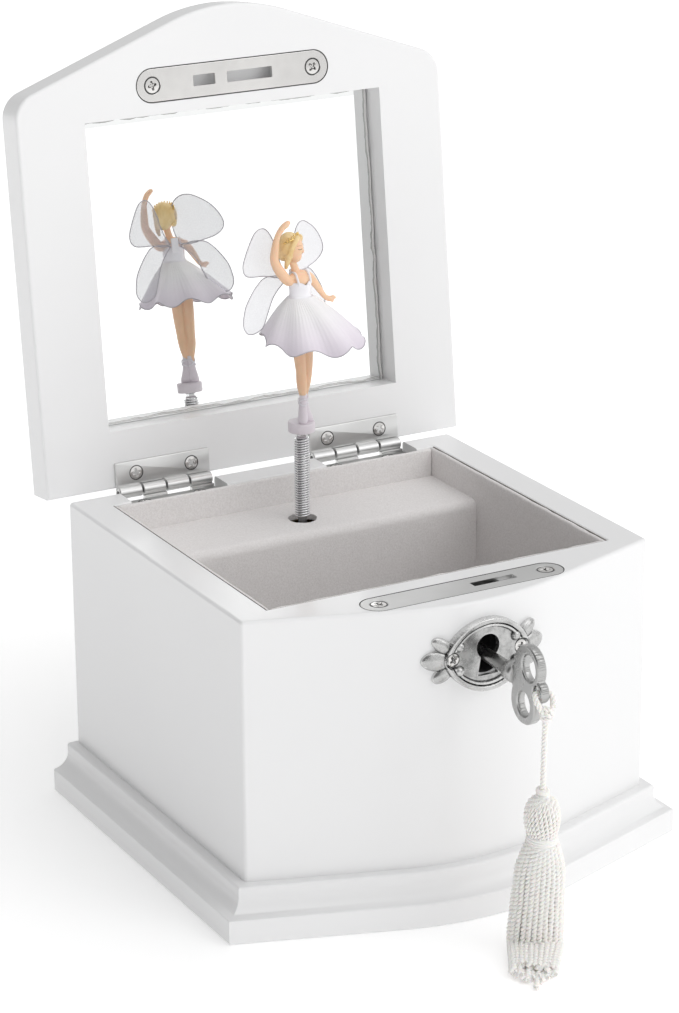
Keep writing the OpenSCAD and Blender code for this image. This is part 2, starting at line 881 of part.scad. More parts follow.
module ratchet_wheel() {
    teeth = 16;
    color("silver") translate([0, 47.6, barrel_z]) rotate([90, 0, 0]) linear_extrude(1) difference() {
        union() {
            circle(4.4);
            for (i = [0:teeth - 1]) rotate(i * 360 / teeth) polygon([[4, -0.6], [5.3, 0.6], [4.2, 0.8]]);
        }
        circle(2.2);
    }
}

module click_pawl() {
    color("silver") translate([0, 47.6, barrel_z]) rotate([90, 0, 0]) linear_extrude(1) {
        translate([-9, 6]) circle(1.6);
        polygon([[-9.4, 7.4], [-4, 4.4], [-4.4, 3.9], [-9.8, 4.6]]);
    }
    color("silver") rod_y(-9, barrel_z + 6, 0.9, 47.5, bed_y);
}

module winding_key() {
    color("silver") difference() {
        union() {
            rod_y(0, barrel_z, 3, 61, 67);
            for (side = [-1, 1]) rod_y(side * 7.6, barrel_z, 5, 66.4, 68);
            box(-5, 5, 66.4, 68, barrel_z - 2.6, barrel_z + 2.6);
        }
        rod_y(0, barrel_z, 2.2, 60, 66);
        for (side = [-1, 1]) rod_y(side * 7.6, barrel_z, 2.4, 66, 69);
    }
}

module second_wheel() {
    color("goldenrod") translate([second_x, shaft_y, 0]) {
        translate([0, 0, 53.2]) cylinder(r = 0.6, h = 27.8);
        translate([0, 0, 70.9]) rotate(180 / 8) gear(8, 0.5, 2.3, 0.55);
        translate([0, 0, 75]) gear(36, 0.4, 1, 0.55);
    }
}

module governor_fan() {
    color("silver") translate([fan_x, shaft_y, 0]) {
        translate([0, 0, 53.2]) cylinder(r = 0.6, h = 27.8);
        translate([0, 0, 74.4]) rotate(180 / 10) gear(10, 0.4, 2.2, 0.55);
        translate([-7.4, -0.3, 58]) cube([14.8, 0.6, 12]);
    }
}

// ---------- dancer ----------

module coiled_shaft() {
    color("silver") translate([0, shaft_y, coil_z0]) difference() {
        cylinder(r = coil_r, h = coil_z1 - coil_z0);
        translate([0, 0, -1]) cylinder(r = coil_r - 1, h = coil_z1 - coil_z0 + 2);
    }
}

module doll_ferrule() {
    color("silver") translate([0, shaft_y, 0]) {
        translate([0, 0, coil_z1 - 6]) cylinder(r = coil_r - 1 - run, h = 6);
        translate([0, 0, coil_z1]) cylinder(r = 2, h = disc_z - coil_z1);
    }
}

module doll_disc() {
    color("thistle") translate([0, shaft_y, disc_z]) cylinder(r = disc_r, h = disc_t);
}

// A limb: a tapered rod from a to b with a round far end.
module limb(a, b, ra, rb) {
    d = b - a;
    translate(a) rotate([0, acos(d[2] / norm(d)), atan2(d[1], d[0])])
        cylinder(r1 = ra, r2 = rb, h = norm(d));
    translate(b) sphere(rb * 1.12);
}

module doll_figure() {
    color("peachpuff") translate([0, shaft_y, doll_z]) {
        for (side = [-1, 1]) {
            limb([side * 0.9, 0, 1.4], [side * 1.1, 0, 12], 1.4, 1.5);
            limb([side * 1.1, 0, 12], [side * 1.3, 0, 36], 1.6, 2.2);
        }
        translate([0, 0, 36]) cylinder(r1 = 3.4, r2 = 2.6, h = 7);
        translate([0, 0, 43]) cylinder(r1 = 2.6, r2 = 3.6, h = 6);
        limb([0, 0, 48], [0, 0, 54], 2, 1.3);
        translate([0, 0, 57.4]) sphere(4.1);
        // the right arm is raised over the head, the left is held out and low
        limb([-3.6, 0, 48], [-8, -1.5, 55], 1.3, 1);
        limb([-8, -1.5, 55], [-3.4, -3, 62.6], 1, 0.8);
        limb([3.6, 0, 48], [8, -1.5, 43.5], 1.3, 1);
        limb([8, -1.5, 43.5], [13, -2, 41.4], 1, 0.7);
    }
}

module petal(length, width, z, angle) {
    steps = 12;
    outline = [
        for (i = [0:2 * steps - 1]) let (a = 180 * i / steps)
            [length / 2 - length / 2 * cos(a), width / 2 * sin(a) * (1 - 0.35 * cos(a))]
    ];
    translate([0, 2.6, z]) rotate([90, -angle, 0]) linear_extrude(0.5, center = true) polygon(outline);
}

module doll_skirt_and_wings() {
    color("lavender") translate([0, shaft_y, 0]) {
        translate([0, 0, waist_z]) rotate([6, 8, 0]) translate([0, 0, -waist_z]) rotate_extrude()
            polygon([
                [3.9, waist_z + 1], [hem_r, waist_z - 15.6], [hem_r, waist_z - 17.6],
                [hem_r - 1.5, waist_z - 17.2], [3.8, waist_z - 2.4]
            ]);
        for (side = [0, 1]) mirror([side, 0, 0]) translate([0, 1.4, 0]) rotate([0, 0, 22]) {
            petal(17, 13, doll_z + 47.5, 36);
            petal(16, 11, doll_z + 44.5, -34);
        }
        translate([0, 4, doll_z + 46]) cube([3.4, 1.6, 6], center = true);
    }
}

left_side_panel();
right_side_panel();
rear_panel();
front_panel();
bottom_panel();
base_felt();
moulding_left();
moulding_right();
moulding_front();
lining_left();
lining_right();
lining_front();
lining_rear();
lining_floor();
platform_top();
platform_front();
lid_board();
mirror_glass();
strike_plate();
strike_plate_screws();
hinge_upper_leaves();
hinge_lower_leaves();
hinge_pins();
hinge_lid_screws();
hinge_case_screws();
lock_plate();
lock_plate_screws();
lock_case();
lock_tumbler();
lock_hook();
escutcheon();
escutcheon_screws();
lock_key();
tassel_cord();
tassel_head();
tassel_skirt();
bedplate();
bedplate_screws();
lower_bearing();
governor_frame();
comb_base();
music_comb();
comb_screws();
music_cylinder();
cylinder_arbor();
crown_pinion();
cylinder_gear();
spring_barrel();
mainspring();
winding_arbor();
ratchet_wheel();
click_pawl();
winding_key();
second_wheel();
governor_fan();
coiled_shaft();
doll_ferrule();
doll_disc();
doll_figure();
doll_skirt_and_wings();
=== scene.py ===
import bpy, bmesh, math, random
from mathutils import Matrix, Vector, noise


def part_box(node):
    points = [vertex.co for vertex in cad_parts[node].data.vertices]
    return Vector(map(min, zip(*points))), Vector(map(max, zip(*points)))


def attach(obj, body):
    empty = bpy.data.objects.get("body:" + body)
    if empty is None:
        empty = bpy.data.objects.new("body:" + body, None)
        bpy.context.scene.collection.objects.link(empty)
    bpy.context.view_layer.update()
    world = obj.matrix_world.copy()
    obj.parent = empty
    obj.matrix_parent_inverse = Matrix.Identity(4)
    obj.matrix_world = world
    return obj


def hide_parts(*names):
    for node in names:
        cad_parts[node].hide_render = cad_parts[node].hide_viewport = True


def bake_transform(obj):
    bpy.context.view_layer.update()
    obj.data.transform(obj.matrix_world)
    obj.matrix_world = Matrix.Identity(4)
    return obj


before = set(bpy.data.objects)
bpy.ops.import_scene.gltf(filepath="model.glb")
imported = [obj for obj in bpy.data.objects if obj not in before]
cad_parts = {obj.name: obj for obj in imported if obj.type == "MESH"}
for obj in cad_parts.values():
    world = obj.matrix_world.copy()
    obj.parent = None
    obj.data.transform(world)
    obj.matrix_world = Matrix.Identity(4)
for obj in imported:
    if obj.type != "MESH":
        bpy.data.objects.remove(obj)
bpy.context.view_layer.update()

# Everything below is drawn in millimetres in the CAD frame and scaled once, when a mesh is made.
MM = 0.001
sin, cos, pi = math.sin, math.cos, math.pi
rad = math.radians


def cad(node):
    """Lowest and highest corners of a CAD node, in millimetres."""
    lo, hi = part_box(node)
    return [c / MM for c in lo], [c / MM for c in hi]


# ---------------------------------------------------------------- camera

EYE = (-453.14, -815.29, 434.70)
AZIMUTH, ELEVATION, ROLL = -28.8164, 19.5855, -0.3943


def aim():
    az, el, roll = rad(AZIMUTH), rad(ELEVATION), rad(ROLL)
    back = Vector((sin(az) * cos(el), -cos(az) * cos(el), sin(el)))
    right = (-back).cross(Vector((0, 0, 1))).normalized()
    up = right.cross(-back)
    x = right * cos(roll) + up * sin(roll)
    y = -right * sin(roll) + up * cos(roll)
    m = Matrix((x, y, back)).transposed().to_4x4()
    m.translation = Vector(EYE) * MM
    return m


camera = bpy.data.objects.new("camera", bpy.data.cameras.new("camera"))
bpy.context.scene.collection.objects.link(camera)
camera.matrix_world = aim()
camera.data.lens = 113.10
camera.data.sensor_width = 36
camera.data.sensor_fit = "AUTO"
camera.data.clip_end = 20
bpy.context.scene.camera = camera


# ---------------------------------------------------------------- materials


class Nodes:
    """A short way to write one material's nodes."""

    def __init__(self, name, slot):
        self.mat = bpy.data.materials.new(name)
        self.mat.use_nodes = True
        self.tree = self.mat.node_tree
        self.tree.nodes.clear()
        self.out = self.tree.nodes.new("ShaderNodeOutputMaterial")
        self.bsdf = self.tree.nodes.new("ShaderNodeBsdfPrincipled")
        self.join(self.bsdf, "BSDF", self.out, "Surface")
        self.coord = self.tree.nodes.new("ShaderNodeTexCoord")
        self.slot = slot

    def join(self, a, out, b, socket):
        self.tree.links.new(a.outputs[out], b.inputs[socket])

    def set(self, **values):
        for key, value in values.items():
            socket = self.bsdf.inputs[key.replace("_", " ")]
            socket.default_value = (*value, 1) if isinstance(value, tuple) and len(value) == 3 else value
        return self

    def mapping(self, scale, turn=(0, 0, 0)):
        m = self.tree.nodes.new("ShaderNodeMapping")
        m.inputs["Scale"].default_value = scale if isinstance(scale, tuple) else (scale,) * 3
        m.inputs["Rotation"].default_value = turn
        self.join(self.coord, "Object", m, "Vector")
        return m

    def noise(self, scale, detail=3, rough=0.5, distortion=0.0, turn=(0, 0, 0)):
        n = self.tree.nodes.new("ShaderNodeTexNoise")
        n.inputs["Scale"].default_value = 1
        n.inputs["Detail"].default_value = detail
        n.inputs["Roughness"].default_value = rough
        n.inputs["Distortion"].default_value = distortion
        self.join(self.mapping(scale, turn), "Vector", n, "Vector")
        return n

    def voronoi(self, scale, feature="F1"):
        n = self.tree.nodes.new("ShaderNodeTexVoronoi")
        n.feature = feature
        n.inputs["Scale"].default_value = 1
        self.join(self.mapping(scale), "Vector", n, "Vector")
        return n

    def ramp(self, source, out, stops):
        r = self.tree.nodes.new("ShaderNodeValToRGB")
        while len(r.color_ramp.elements) < len(stops):
            r.color_ramp.elements.new(0.5)
        for e, (at, colour) in zip(r.color_ramp.elements, stops):
            e.position = at
            e.color = (*colour, 1) if isinstance(colour, tuple) else (colour, colour, colour, 1)
        self.join(source, out, r, "Fac")
        return r

    def scaled(self, source, out, lo, hi):
        m = self.tree.nodes.new("ShaderNodeMapRange")
        m.inputs["To Min"].default_value = lo
        m.inputs["To Max"].default_value = hi
        self.join(source, out, m, "Value")
        return m

    def colour(self, node, out="Color"):
        self.join(node, out, self.bsdf, "Base Color")
        return self

    def rough(self, node, out, lo, hi):
        self.join(self.scaled(node, out, lo, hi), "Result", self.bsdf, "Roughness")
        return self

    def bump(self, node, out, depth, strength=1.0, into=None):
        """Bump by depth millimetres, on top of an earlier bump."""
        b = self.tree.nodes.new("ShaderNodeBump")
        b.inputs["Distance"].default_value = depth * MM
        b.inputs["Strength"].default_value = strength
        self.join(node, out, b, "Height")
        if into:
            self.join(into, "Normal", b, "Normal")
        self.join(b, "Normal", self.bsdf, "Normal")
        return b


def white_lacquer():
    m = Nodes("white_lacquer", "white_lacquer")
    m.set(Coat_Weight=0.35, Coat_Roughness=0.12, Specular_IOR_Level=0.5)
    m.colour(m.ramp(m.noise(9, 2), "Fac", [(0.3, (0.845, 0.845, 0.85)), (0.7, (0.87, 0.87, 0.872))]))
    m.rough(m.noise(60, 3), "Fac", 0.28, 0.4)
    m.bump(m.noise(420, 2), "Fac", 0.035, 0.35)
    return m


def velvet():
    m = Nodes("velvet", "velvet")
    m.set(Sheen_Weight=0.4, Sheen_Roughness=0.4, Sheen_Tint=(0.96, 0.94, 0.94), Specular_IOR_Level=0.12)
    pile = m.noise(1700, 4, 0.7)
    m.colour(m.ramp(pile, "Fac", [(0.3, (0.74, 0.715, 0.705)), (0.7, (0.87, 0.85, 0.845))]))
    m.rough(m.noise(90, 3), "Fac", 0.85, 1.0)
    m.bump(m.noise(45, 3), "Fac", 0.3, 0.3, into=m.bump(pile, "Fac", 0.22, 0.6))
    return m


def felt():
    m = Nodes("felt", "felt")
    m.set(Sheen_Weight=0.3, Specular_IOR_Level=0.1, Roughness=0.95)
    fibre = m.noise(900, 5, 0.7)
    m.colour(m.ramp(fibre, "Fac", [(0.3, (0.55, 0.55, 0.54)), (0.7, (0.74, 0.74, 0.73))]))
    m.bump(fibre, "Fac", 0.3, 0.8)
    return m


def bare_board():
    m = Nodes("bare_board", "bare_board")
    grain = m.noise((12, 160, 160), 4, 0.6, 0.4)
    m.colour(m.ramp(grain, "Fac", [(0.3, (0.56, 0.44, 0.3)), (0.7, (0.7, 0.58, 0.42))]))
    m.rough(grain, "Fac", 0.55, 0.75)
    m.bump(grain, "Fac", 0.1, 0.5)
    return m


def mirror_silver():
    m = Nodes("mirror", "mirror")
    m.set(Metallic=1.0, Coat_Weight=1.0, Coat_Roughness=0.0)
    m.colour(m.ramp(m.noise(4, 1), "Fac", [(0.3, (0.945, 0.955, 0.95)), (0.7, (0.955, 0.962, 0.958))]))
    m.rough(m.noise(30, 1), "Fac", 0.0, 0.012)
    return m


def glue():
    """Clear glue with light and shade painted by the view angle: a painted highlight where it faces the view,
    painted shade along its sides.
    """
    m = Nodes("clear_glue_painted_shading", "mirror")
    m.set(Transmission_Weight=0.25, IOR=1.47)
    # the colour follows the facing ratio to the view: painted light and shade
    side = m.tree.nodes.new("ShaderNodeLayerWeight")
    side.inputs["Blend"].default_value = 0.5
    m.colour(m.ramp(side, "Facing", [(0.0, (0.85, 0.85, 0.84)), (0.5, (0.7, 0.7, 0.69)),
                                     (0.72, (0.16, 0.16, 0.16)), (1.0, 0.05)]))
    m.rough(m.noise(200, 2), "Fac", 0.05, 0.2)
    return m


def metal(name, slot, dark, light, rough, grain=(300, 300, 300), depth=0.01, patina=25):
    m = Nodes(name, slot)
    m.set(Metallic=1.0)
    m.colour(m.ramp(m.noise(patina, 4, 0.6), "Fac", [(0.3, dark), (0.7, light)]))
    fine = m.noise(grain, 2)
    m.rough(fine, "Fac", *rough)
    m.bump(fine, "Fac", depth, 0.5)
    return m


def pewter():
    """Dark in the hollows, rubbed bright on the high places."""
    m = Nodes("pewter", "pewter")
    m.set(Metallic=0.92)
    worn = m.tree.nodes.new("ShaderNodeNewGeometry")
    blotch = m.noise(260, 4, 0.65)
    mix = m.tree.nodes.new("ShaderNodeMath")
    mix.operation = "MULTIPLY_ADD"
    mix.inputs[1].default_value = 0.1
    m.join(blotch, "Fac", mix, 0)
    m.join(worn, "Pointiness", mix, 2)
    stops = [(0.49, (0.05, 0.05, 0.05)), (0.525, (0.2, 0.2, 0.2)), (0.55, (0.46, 0.46, 0.455)),
             (0.6, (0.68, 0.68, 0.675))]
    m.colour(m.ramp(mix, "Value", stops))
    m.rough(blotch, "Fac", 0.2, 0.34)
    m.bump(m.noise(700, 3), "Fac", 0.03, 0.4)
    return m


def plastic(name, slot, a, b, rough=(0.3, 0.42), subsurface=0.0):
    m = Nodes(name, slot)
    m.set(Specular_IOR_Level=0.5, Subsurface_Weight=subsurface, Subsurface_Scale=0.002)
    m.colour(m.ramp(m.noise(120, 3), "Fac", [(0.3, a), (0.7, b)]))
    m.rough(m.noise(400, 2), "Fac", *rough)
    m.bump(m.noise(900, 2), "Fac", 0.02, 0.4)
    return m


def cord_yarn(name, a, b):
    m = Nodes(name, "ivory_cord")
    m.set(Sheen_Weight=0.25, Sheen_Roughness=0.4, Specular_IOR_Level=0.3, Subsurface_Weight=0.12,
          Subsurface_Scale=0.0015)
    fibre = m.noise((2200, 2200, 700), 3, 0.6)
    m.colour(m.ramp(fibre, "Fac", [(0.3, a), (0.7, b)]))
    m.rough(fibre, "Fac", 0.6, 0.85)
    m.bump(fibre, "Fac", 0.12, 0.6)
    return m


def tulle():
    """Fine net, white at the waist and lilac below."""
    m = Nodes("tulle", "tulle")
    m.set(Specular_IOR_Level=0.25, Sheen_Weight=0.2)
    place = m.tree.nodes.new("ShaderNodeSeparateXYZ")
    m.join(m.coord, "Object", place, "Vector")
    down = m.tree.nodes.new("ShaderNodeMapRange")
    down.inputs["From Min"].default_value = 0.144
    down.inputs["From Max"].default_value = 0.163
    m.join(place, "Z", down, "Value")
    m.colour(m.ramp(down, "Result", [
        (0.0, (0.5, 0.45, 0.52)), (0.1, (0.68, 0.62, 0.7)), (0.45, (0.82, 0.77, 0.83)),
        (0.8, (0.88, 0.87, 0.88))]))
    net = m.voronoi((1500, 1500, 1500), "DISTANCE_TO_EDGE")
    m.rough(net, "Distance", 0.4, 0.6)
    m.bump(net, "Distance", 0.08, 0.5)
    return m


# ---------------------------------------------------------------- shapes


class Shape:
    """Vertices in millimetres, faces, and a material number for each face."""

    def __init__(self):
        self.v, self.f, self.m = [], [], []

    def add(self, part, mat=0, at=None):
        verts, faces = part
        n = len(self.v)
        self.v += [tuple(at @ Vector(p)) if at else tuple(p) for p in verts]
        self.f += [[i + n for i in f] for f in faces]
        self.m += [mat] * len(faces)
        return self


def moved(x=0, y=0, z=0):
    return Matrix.Translation((x, y, z))


def turned(degrees, axis):
    return Matrix.Rotation(rad(degrees), 4, axis)


def make(name, shape, mats, body, nodes=(), sharp=40, weld=0.0, tidy=True):
    """A piece from a shape. Sharp is the angle, in degrees, above which an edge is drawn hard."""
    mats = mats if isinstance(mats, (list, tuple)) else [mats]
    mesh = bpy.data.meshes.new(name)
    mesh.from_pydata([[c * MM for c in p] for p in shape.v], [], shape.f)
    for m in mats:
        mesh.materials.append(m.mat)
    mesh.polygons.foreach_set("material_index", shape.m)
    bm = bmesh.new()
    bm.from_mesh(mesh)
    if weld:
        bmesh.ops.remove_doubles(bm, verts=bm.verts, dist=weld * MM)
    if tidy:
        bmesh.ops.recalc_face_normals(bm, faces=bm.faces)
    bm.to_mesh(mesh)
    bm.free()
    piece = bpy.data.objects.new(name, mesh)
    bpy.context.scene.collection.objects.link(piece)
    smooth(piece, sharp)
    if body:
        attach(piece, body)
    if nodes:
        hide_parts(*([nodes] if isinstance(nodes, str) else nodes))
    return piece


def smooth(piece, sharp):
    mesh = piece.data
    mesh.polygons.foreach_set("use_smooth", [True] * len(mesh.polygons))
    mesh.set_sharp_from_angle(angle=rad(sharp))
    mesh.update()


def weighted(piece):
    """Keeps big flat faces flat beside their rounded edges."""
    w = piece.modifiers.new("weighted", "WEIGHTED_NORMAL")
    w.keep_sharp = True
    w.weight = 100
    w.mode = "FACE_AREA"
    return piece


def apply_modifiers(piece):
    deps = bpy.context.evaluated_depsgraph_get()
    mesh = bpy.data.meshes.new_from_object(piece.evaluated_get(deps), preserve_all_data_layers=True,
                                           depsgraph=deps)
    old = piece.data
    piece.modifiers.clear()
    piece.data = mesh
    bpy.data.meshes.remove(old)
    return piece


def cut(piece, *tools, sharp=40):
    """Takes closed shapes out of a piece."""
    for i, tool in enumerate(tools):
        cutter = make(f"{piece.name}_cut_{i}", tool, CUT, None)
        b = piece.modifiers.new("cut", "BOOLEAN")
        b.object, b.operation, b.solver = cutter, "DIFFERENCE", "EXACT"
        apply_modifiers(piece)
        bpy.data.objects.remove(cutter, do_unlink=True)
    smooth(piece, sharp)
    return piece


def bevel(piece, width, segments=2, angle=35, sharp=40):
    b = piece.modifiers.new("bevel", "BEVEL")
    b.width, b.segments, b.limit_method, b.angle_limit = width * MM, segments, "ANGLE", rad(angle)
    b.use_clamp_overlap = True
    b.harden_normals = False
    apply_modifiers(piece)
    smooth(piece, sharp)
    return piece


def inset(outline, d):
    """A closed counterclockwise outline moved inwards by d."""
    n, res = len(outline), []
    for i in range(n):
        a, b, c = Vector(outline[i - 1]), Vector(outline[i]), Vector(outline[(i + 1) % n])
        u, v = (b - a).normalized(), (c - b).normalized()
        nu, nv = Vector((-u.y, u.x)), Vector((-v.y, v.x))
        m = nu + nv
        k = d / max(0.2, (1 + nu.dot(nv)))
        res.append((b.x + m.x * k, b.y + m.y * k))
    return res


def rings(loops, closed_ends=True, around=True):
    """Joins loops of the same number of points into one surface."""
    verts, faces, n = [], [], len(loops[0])
    for loop in loops:
        verts += [tuple(p) for p in loop]
    last = n if around else n - 1
    for k in range(len(loops) - 1):
        for i in range(last):
            j = (i + 1) % n
            faces.append([k * n + i, k * n + j, (k + 1) * n + j, (k + 1) * n + i])
    if closed_ends:
        faces.append(list(range(n))[::-1])
        faces.append([(len(loops) - 1) * n + i for i in range(n)])
    return verts, faces


def slab(outline, z0, z1, lower=0.0, upper=0.0, steps=4):
    """An outline raised from z0 to z1, with its lower and upper edges rounded."""
    loops = []
    if lower:
        loops += [[(x, y, z0 + lower * (1 - cos(pi / 2 * k / steps))) for x, y in
                   inset(outline, lower * (1 - sin(pi / 2 * k / steps)))] for k in range(steps)]
    loops.append([(x, y, z0 + lower) for x, y in outline])
    loops.append([(x, y, z1 - upper) for x, y in outline])
    if upper:
        loops += [[(x, y, z1 - upper * (1 - sin(pi / 2 * k / steps))) for x, y in
                   inset(outline, upper * (1 - cos(pi / 2 * k / steps)))] for k in range(1, steps + 1)]
    return rings(loops)


def lathe(profile, sides=48, ends=True):
    """A profile of (radius, height) turned about Z."""
    return rings([[(r * cos(2 * pi * i / sides), r * sin(2 * pi * i / sides), z) for i in range(sides)]
                  for r, z in profile], ends)


def block(x0, x1, y0, y1, z0, z1, edge=0.0, steps=3):
    return slab([(x0, y0), (x1, y0), (x1, y1), (x0, y1)], z0, z1, edge, edge, steps)


def arc(cx, cy, r, a0, a1, steps):
    return [(cx + r * cos(rad(a0 + (a1 - a0) * i / steps)), cy + r * sin(rad(a0 + (a1 - a0) * i / steps)))
            for i in range(steps + 1)]


def rounded(x0, x1, y0, y1, r, steps=5):
    return (arc(x1 - r, y0 + r, r, -90, 0, steps) + arc(x1 - r, y1 - r, r, 0, 90, steps)
            + arc(x0 + r, y1 - r, r, 90, 180, steps) + arc(x0 + r, y0 + r, r, 180, 270, steps))


def stadium(half, r, cy=0.0, cx=0.0, steps=20):
    return (arc(cx + half - r, cy, r, -90, 90, steps) + arc(cx - half + r, cy, r, 90, 270, steps))


def tube(path, radius, sides=12, ends=True, twist=0.0, flat=1.0):
    """A tube along a path, with a radius for all of it or one for each point."""
    p = [Vector(q) for q in path]
    n = len(p)
    radii = radius if isinstance(radius, (list, tuple)) else [radius] * n
    t = [(p[min(i + 1, n - 1)] - p[max(i - 1, 0)]).normalized() for i in range(n)]
    side = t[0].orthogonal().normalized()
    loops = []
    for i in range(n):
        side = (side - t[i] * side.dot(t[i])).normalized()
        other = t[i].cross(side)
        loops.append([])
        for k in range(sides):
            a = 2 * pi * k / sides + twist * i
            loops[-1].append(p[i] + radii[i] * (cos(a) * side + flat * sin(a) * other))
    return rings(loops, ends)


def spline(points, per=8):
    """A smooth path through the points."""
    p = [Vector(q) for q in points]
    p = [2 * p[0] - p[1]] + p + [2 * p[-1] - p[-2]]
    out = []
    for i in range(1, len(p) - 2):
        a, b, c, d = p[i - 1:i + 3]
        for k in range(per):
            s = k / per
            out.append(0.5 * (2 * b + (c - a) * s + (2 * a - 5 * b + 4 * c - d) * s ** 2
                              + (3 * b - a - 3 * c + d) * s ** 3))
    return out + [p[-2]]


def ball(cx, cy, cz, rx, ry=None, rz=None, sides=24, stacks=14):
    ry, rz = ry or rx, rz or rx
    loops = []
    for k in range(1, stacks):
        a = -pi / 2 + pi * k / stacks
        loops.append([(cx + rx * cos(a) * cos(2 * pi * i / sides), cy + ry * cos(a) * sin(2 * pi * i / sides),
                       cz + rz * sin(a)) for i in range(sides)])
    verts, faces = rings(loops, False)
    n = len(verts)
    verts += [(cx, cy, cz - rz), (cx, cy, cz + rz)]
    faces += [[(i + 1) % sides, i, n] for i in range(sides)]
    top = (stacks - 2) * sides
    faces += [[top + i, top + (i + 1) % sides, n + 1] for i in range(sides)]
    return verts, faces


CUT = Nodes("cutter", "white_lacquer")


# ---------------------------------------------------------------- the CAD's own sizes

case_lo, case_hi = cad("left_side_panel")
HALF_W = -case_lo[0]
SIDE_WALL = case_hi[0] + HALF_W
FOOT, RIM = case_lo[2], case_hi[2]
IN_FRONT, REAR = case_lo[1], case_hi[1]
IN_X = HALF_W - SIDE_WALL
IN_REAR = cad("rear_panel")[0][1]
APEX = cad("front_panel")[0][1]
CORNER = -REAR
FLANK = 19.0
LINED_X = -cad("lining_left")[1][0]
LINED_FRONT = cad("lining_front")[1][1]
LINED_REAR = cad("lining_rear")[0][1]
LINING_TOP = cad("lining_left")[1][2]
PLATFORM_Z = cad("platform_top")[1][2]
PLATFORM_Y = cad("platform_top")[0][1]
FLOOR_TOP = cad("lining_floor")[1][2]
SHAFT_Y = 33.1
HOLE_R = 4.6
PIN_Y, PIN_Z, LID_OPEN = 61.2, 97.5, 96.3
LID_Z, LID_T, LID_REAR, LID_LEN, LID_W = 98.7, 12.2, 59.85, 149.6, 151.4
LID_CORNER_S, LID_CORNER_R, LID_FLANK = 126.1, 9.0, 19.8
MIRROR_W, MIRROR_S0, MIRROR_S1, MIRROR_POCKET = 105.4, 18.8, 117.4, 10.4
PLATE_Y, PLATE_HALF, PLATE_R, PLATE_T, PLATE_SCREW_X = -66.8, 34.1, 5.3, 1.2, 28.6
HINGE_X0, HINGE_LEN, KNUCKLE_R, LEAF_FRONT, MORTISE_Z = 18.5, 33.5, 2.0, 51.4, 94.3
HINGE_SCREW_IN, HINGE_SCREW_OUT, HINGE_SCREW_Y = 25.1, 44.8, 55.4
LOCK_X, KEY_Z, OVAL_Z = 0.4, 81.2, 81.9
BOW_END, BOW_T = -112.0, 3.0
MOULDING_OUT, MOULDING_H = 8.6, 16.0

# Closed to open about the hinge pin.
OPENED = moved(0, PIN_Y, PIN_Z) @ turned(-LID_OPEN, "X") @ moved(0, -PIN_Y, -PIN_Z)


def bow_radius(w, rise, angle):
    return (w * math.tan(rad(angle)) - rise) / (1 / cos(rad(angle)) - 1)


def bowed_outline(w, corner, apex, back, angle, soft=0.0, steps=40):
    """The case's outline: straight flanks meeting in a round middle, from the left front corner on."""
    r = bow_radius(w, corner - apex, angle)
    front = arc(0, apex + r, r, -90 - angle, -90 + angle, steps)
    if not soft:
        return [(-w, corner)] + front + [(w, corner), (w, back), (-w, back)]
    d = soft * math.tan(rad((90 - angle) / 2))
    left = arc(-w + soft, corner + d, soft, 180, 270 - angle, 5)
    right = arc(w - soft, corner + d, soft, -90 + angle, 0, 5)
    return (left + front + right + arc(w - soft, back - soft, soft, 0, 90, 4)
            + arc(-w + soft, back - soft, soft, 90, 180, 4))


# ---------------------------------------------------------------- tassel cord

ROUTE = [
    (2.5, -112.6, 76.4), (3.1, -111.4, 78.4), (2.6, -109.8, 79.8), (1.4, -109.1, 80), (-0.6, -109.1, 80),
    (-1.8, -109.8, 79.8), (-2.3, -111.4, 78.4), (-1.6, -112.5, 76.4), (-0.6, -112.9, 74.4),
    (-0.3, -112.9, 72),
    (-0.4, -112.8, 66), (-0.5, -112.7, 59), (-0.6, -112.6, 51.7),
]
TASSEL_X, TASSEL_Y = -0.6, -112.6
BAND_TOP, BAND_DROP, SKIRT_TOP = 37.3, 4.1, 33.2
yarn = cord_yarn("cord_yarn", (0.95, 0.905, 0.865), (1.0, 0.975, 0.95))
# a darker copy of the yarn: painted shade for the cores inside the bulb, band, knot and fringe
yarn_in_painted_shade = cord_yarn("yarn_painted_shade", (0.82, 0.74, 0.67), (0.92, 0.86, 0.8))


def twisted(path, strand_r, plies=2, turn=0.9, per=3, sides=7, phase=0.0, fade=None, apart=0.95):
    """Plies laid about each other along a path. turn is in radians for each millimetre."""
    p = spline(path, per)
    n = len(p)
    t = [(p[min(i + 1, n - 1)] - p[max(i - 1, 0)]).normalized() for i in range(n)]
    side = t[0].orthogonal().normalized()
    run, frames = 0.0, []
    for i in range(n):
        side = (side - t[i] * side.dot(t[i])).normalized()
        run += (p[i] - p[i - 1]).length if i else 0
        frames.append((side.copy(), t[i].cross(side), run))
    out = []
    for k in range(plies):
        line, radii = [], []
        for i in range(n):
            s, o, run = frames[i]
            a = phase + 2 * pi * k / plies + turn * run
            f = fade(run / frames[-1][2]) if fade else 1.0
            line.append(p[i] + strand_r * apart * f * (cos(a) * s + sin(a) * o))
            radii.append(strand_r * f)
        out.append(tube(line, radii, sides))
    return out


cord_path = spline(ROUTE, 6)
shape = Shape()
for part in twisted(cord_path, 0.44, 3, 1.7, 4, 8, apart=1.1):
    shape.add(part)
tassel_cord = make("tassel_cord_twisted", shape, yarn, "tassel", "tassel_cord", 60)


# ---------------------------------------------------------------- case

lacquer = white_lacquer()
board = bare_board()
pile = velvet()
bright = metal("bright_nickel", "bright_nickel", (0.62, 0.61, 0.6), (0.74, 0.73, 0.715), (0.08, 0.2),
               depth=0.004)
satin = metal("satin_nickel", "satin_nickel", (0.64, 0.64, 0.635), (0.74, 0.74, 0.735), (0.26, 0.38),
              (60, 900, 900), 0.012)
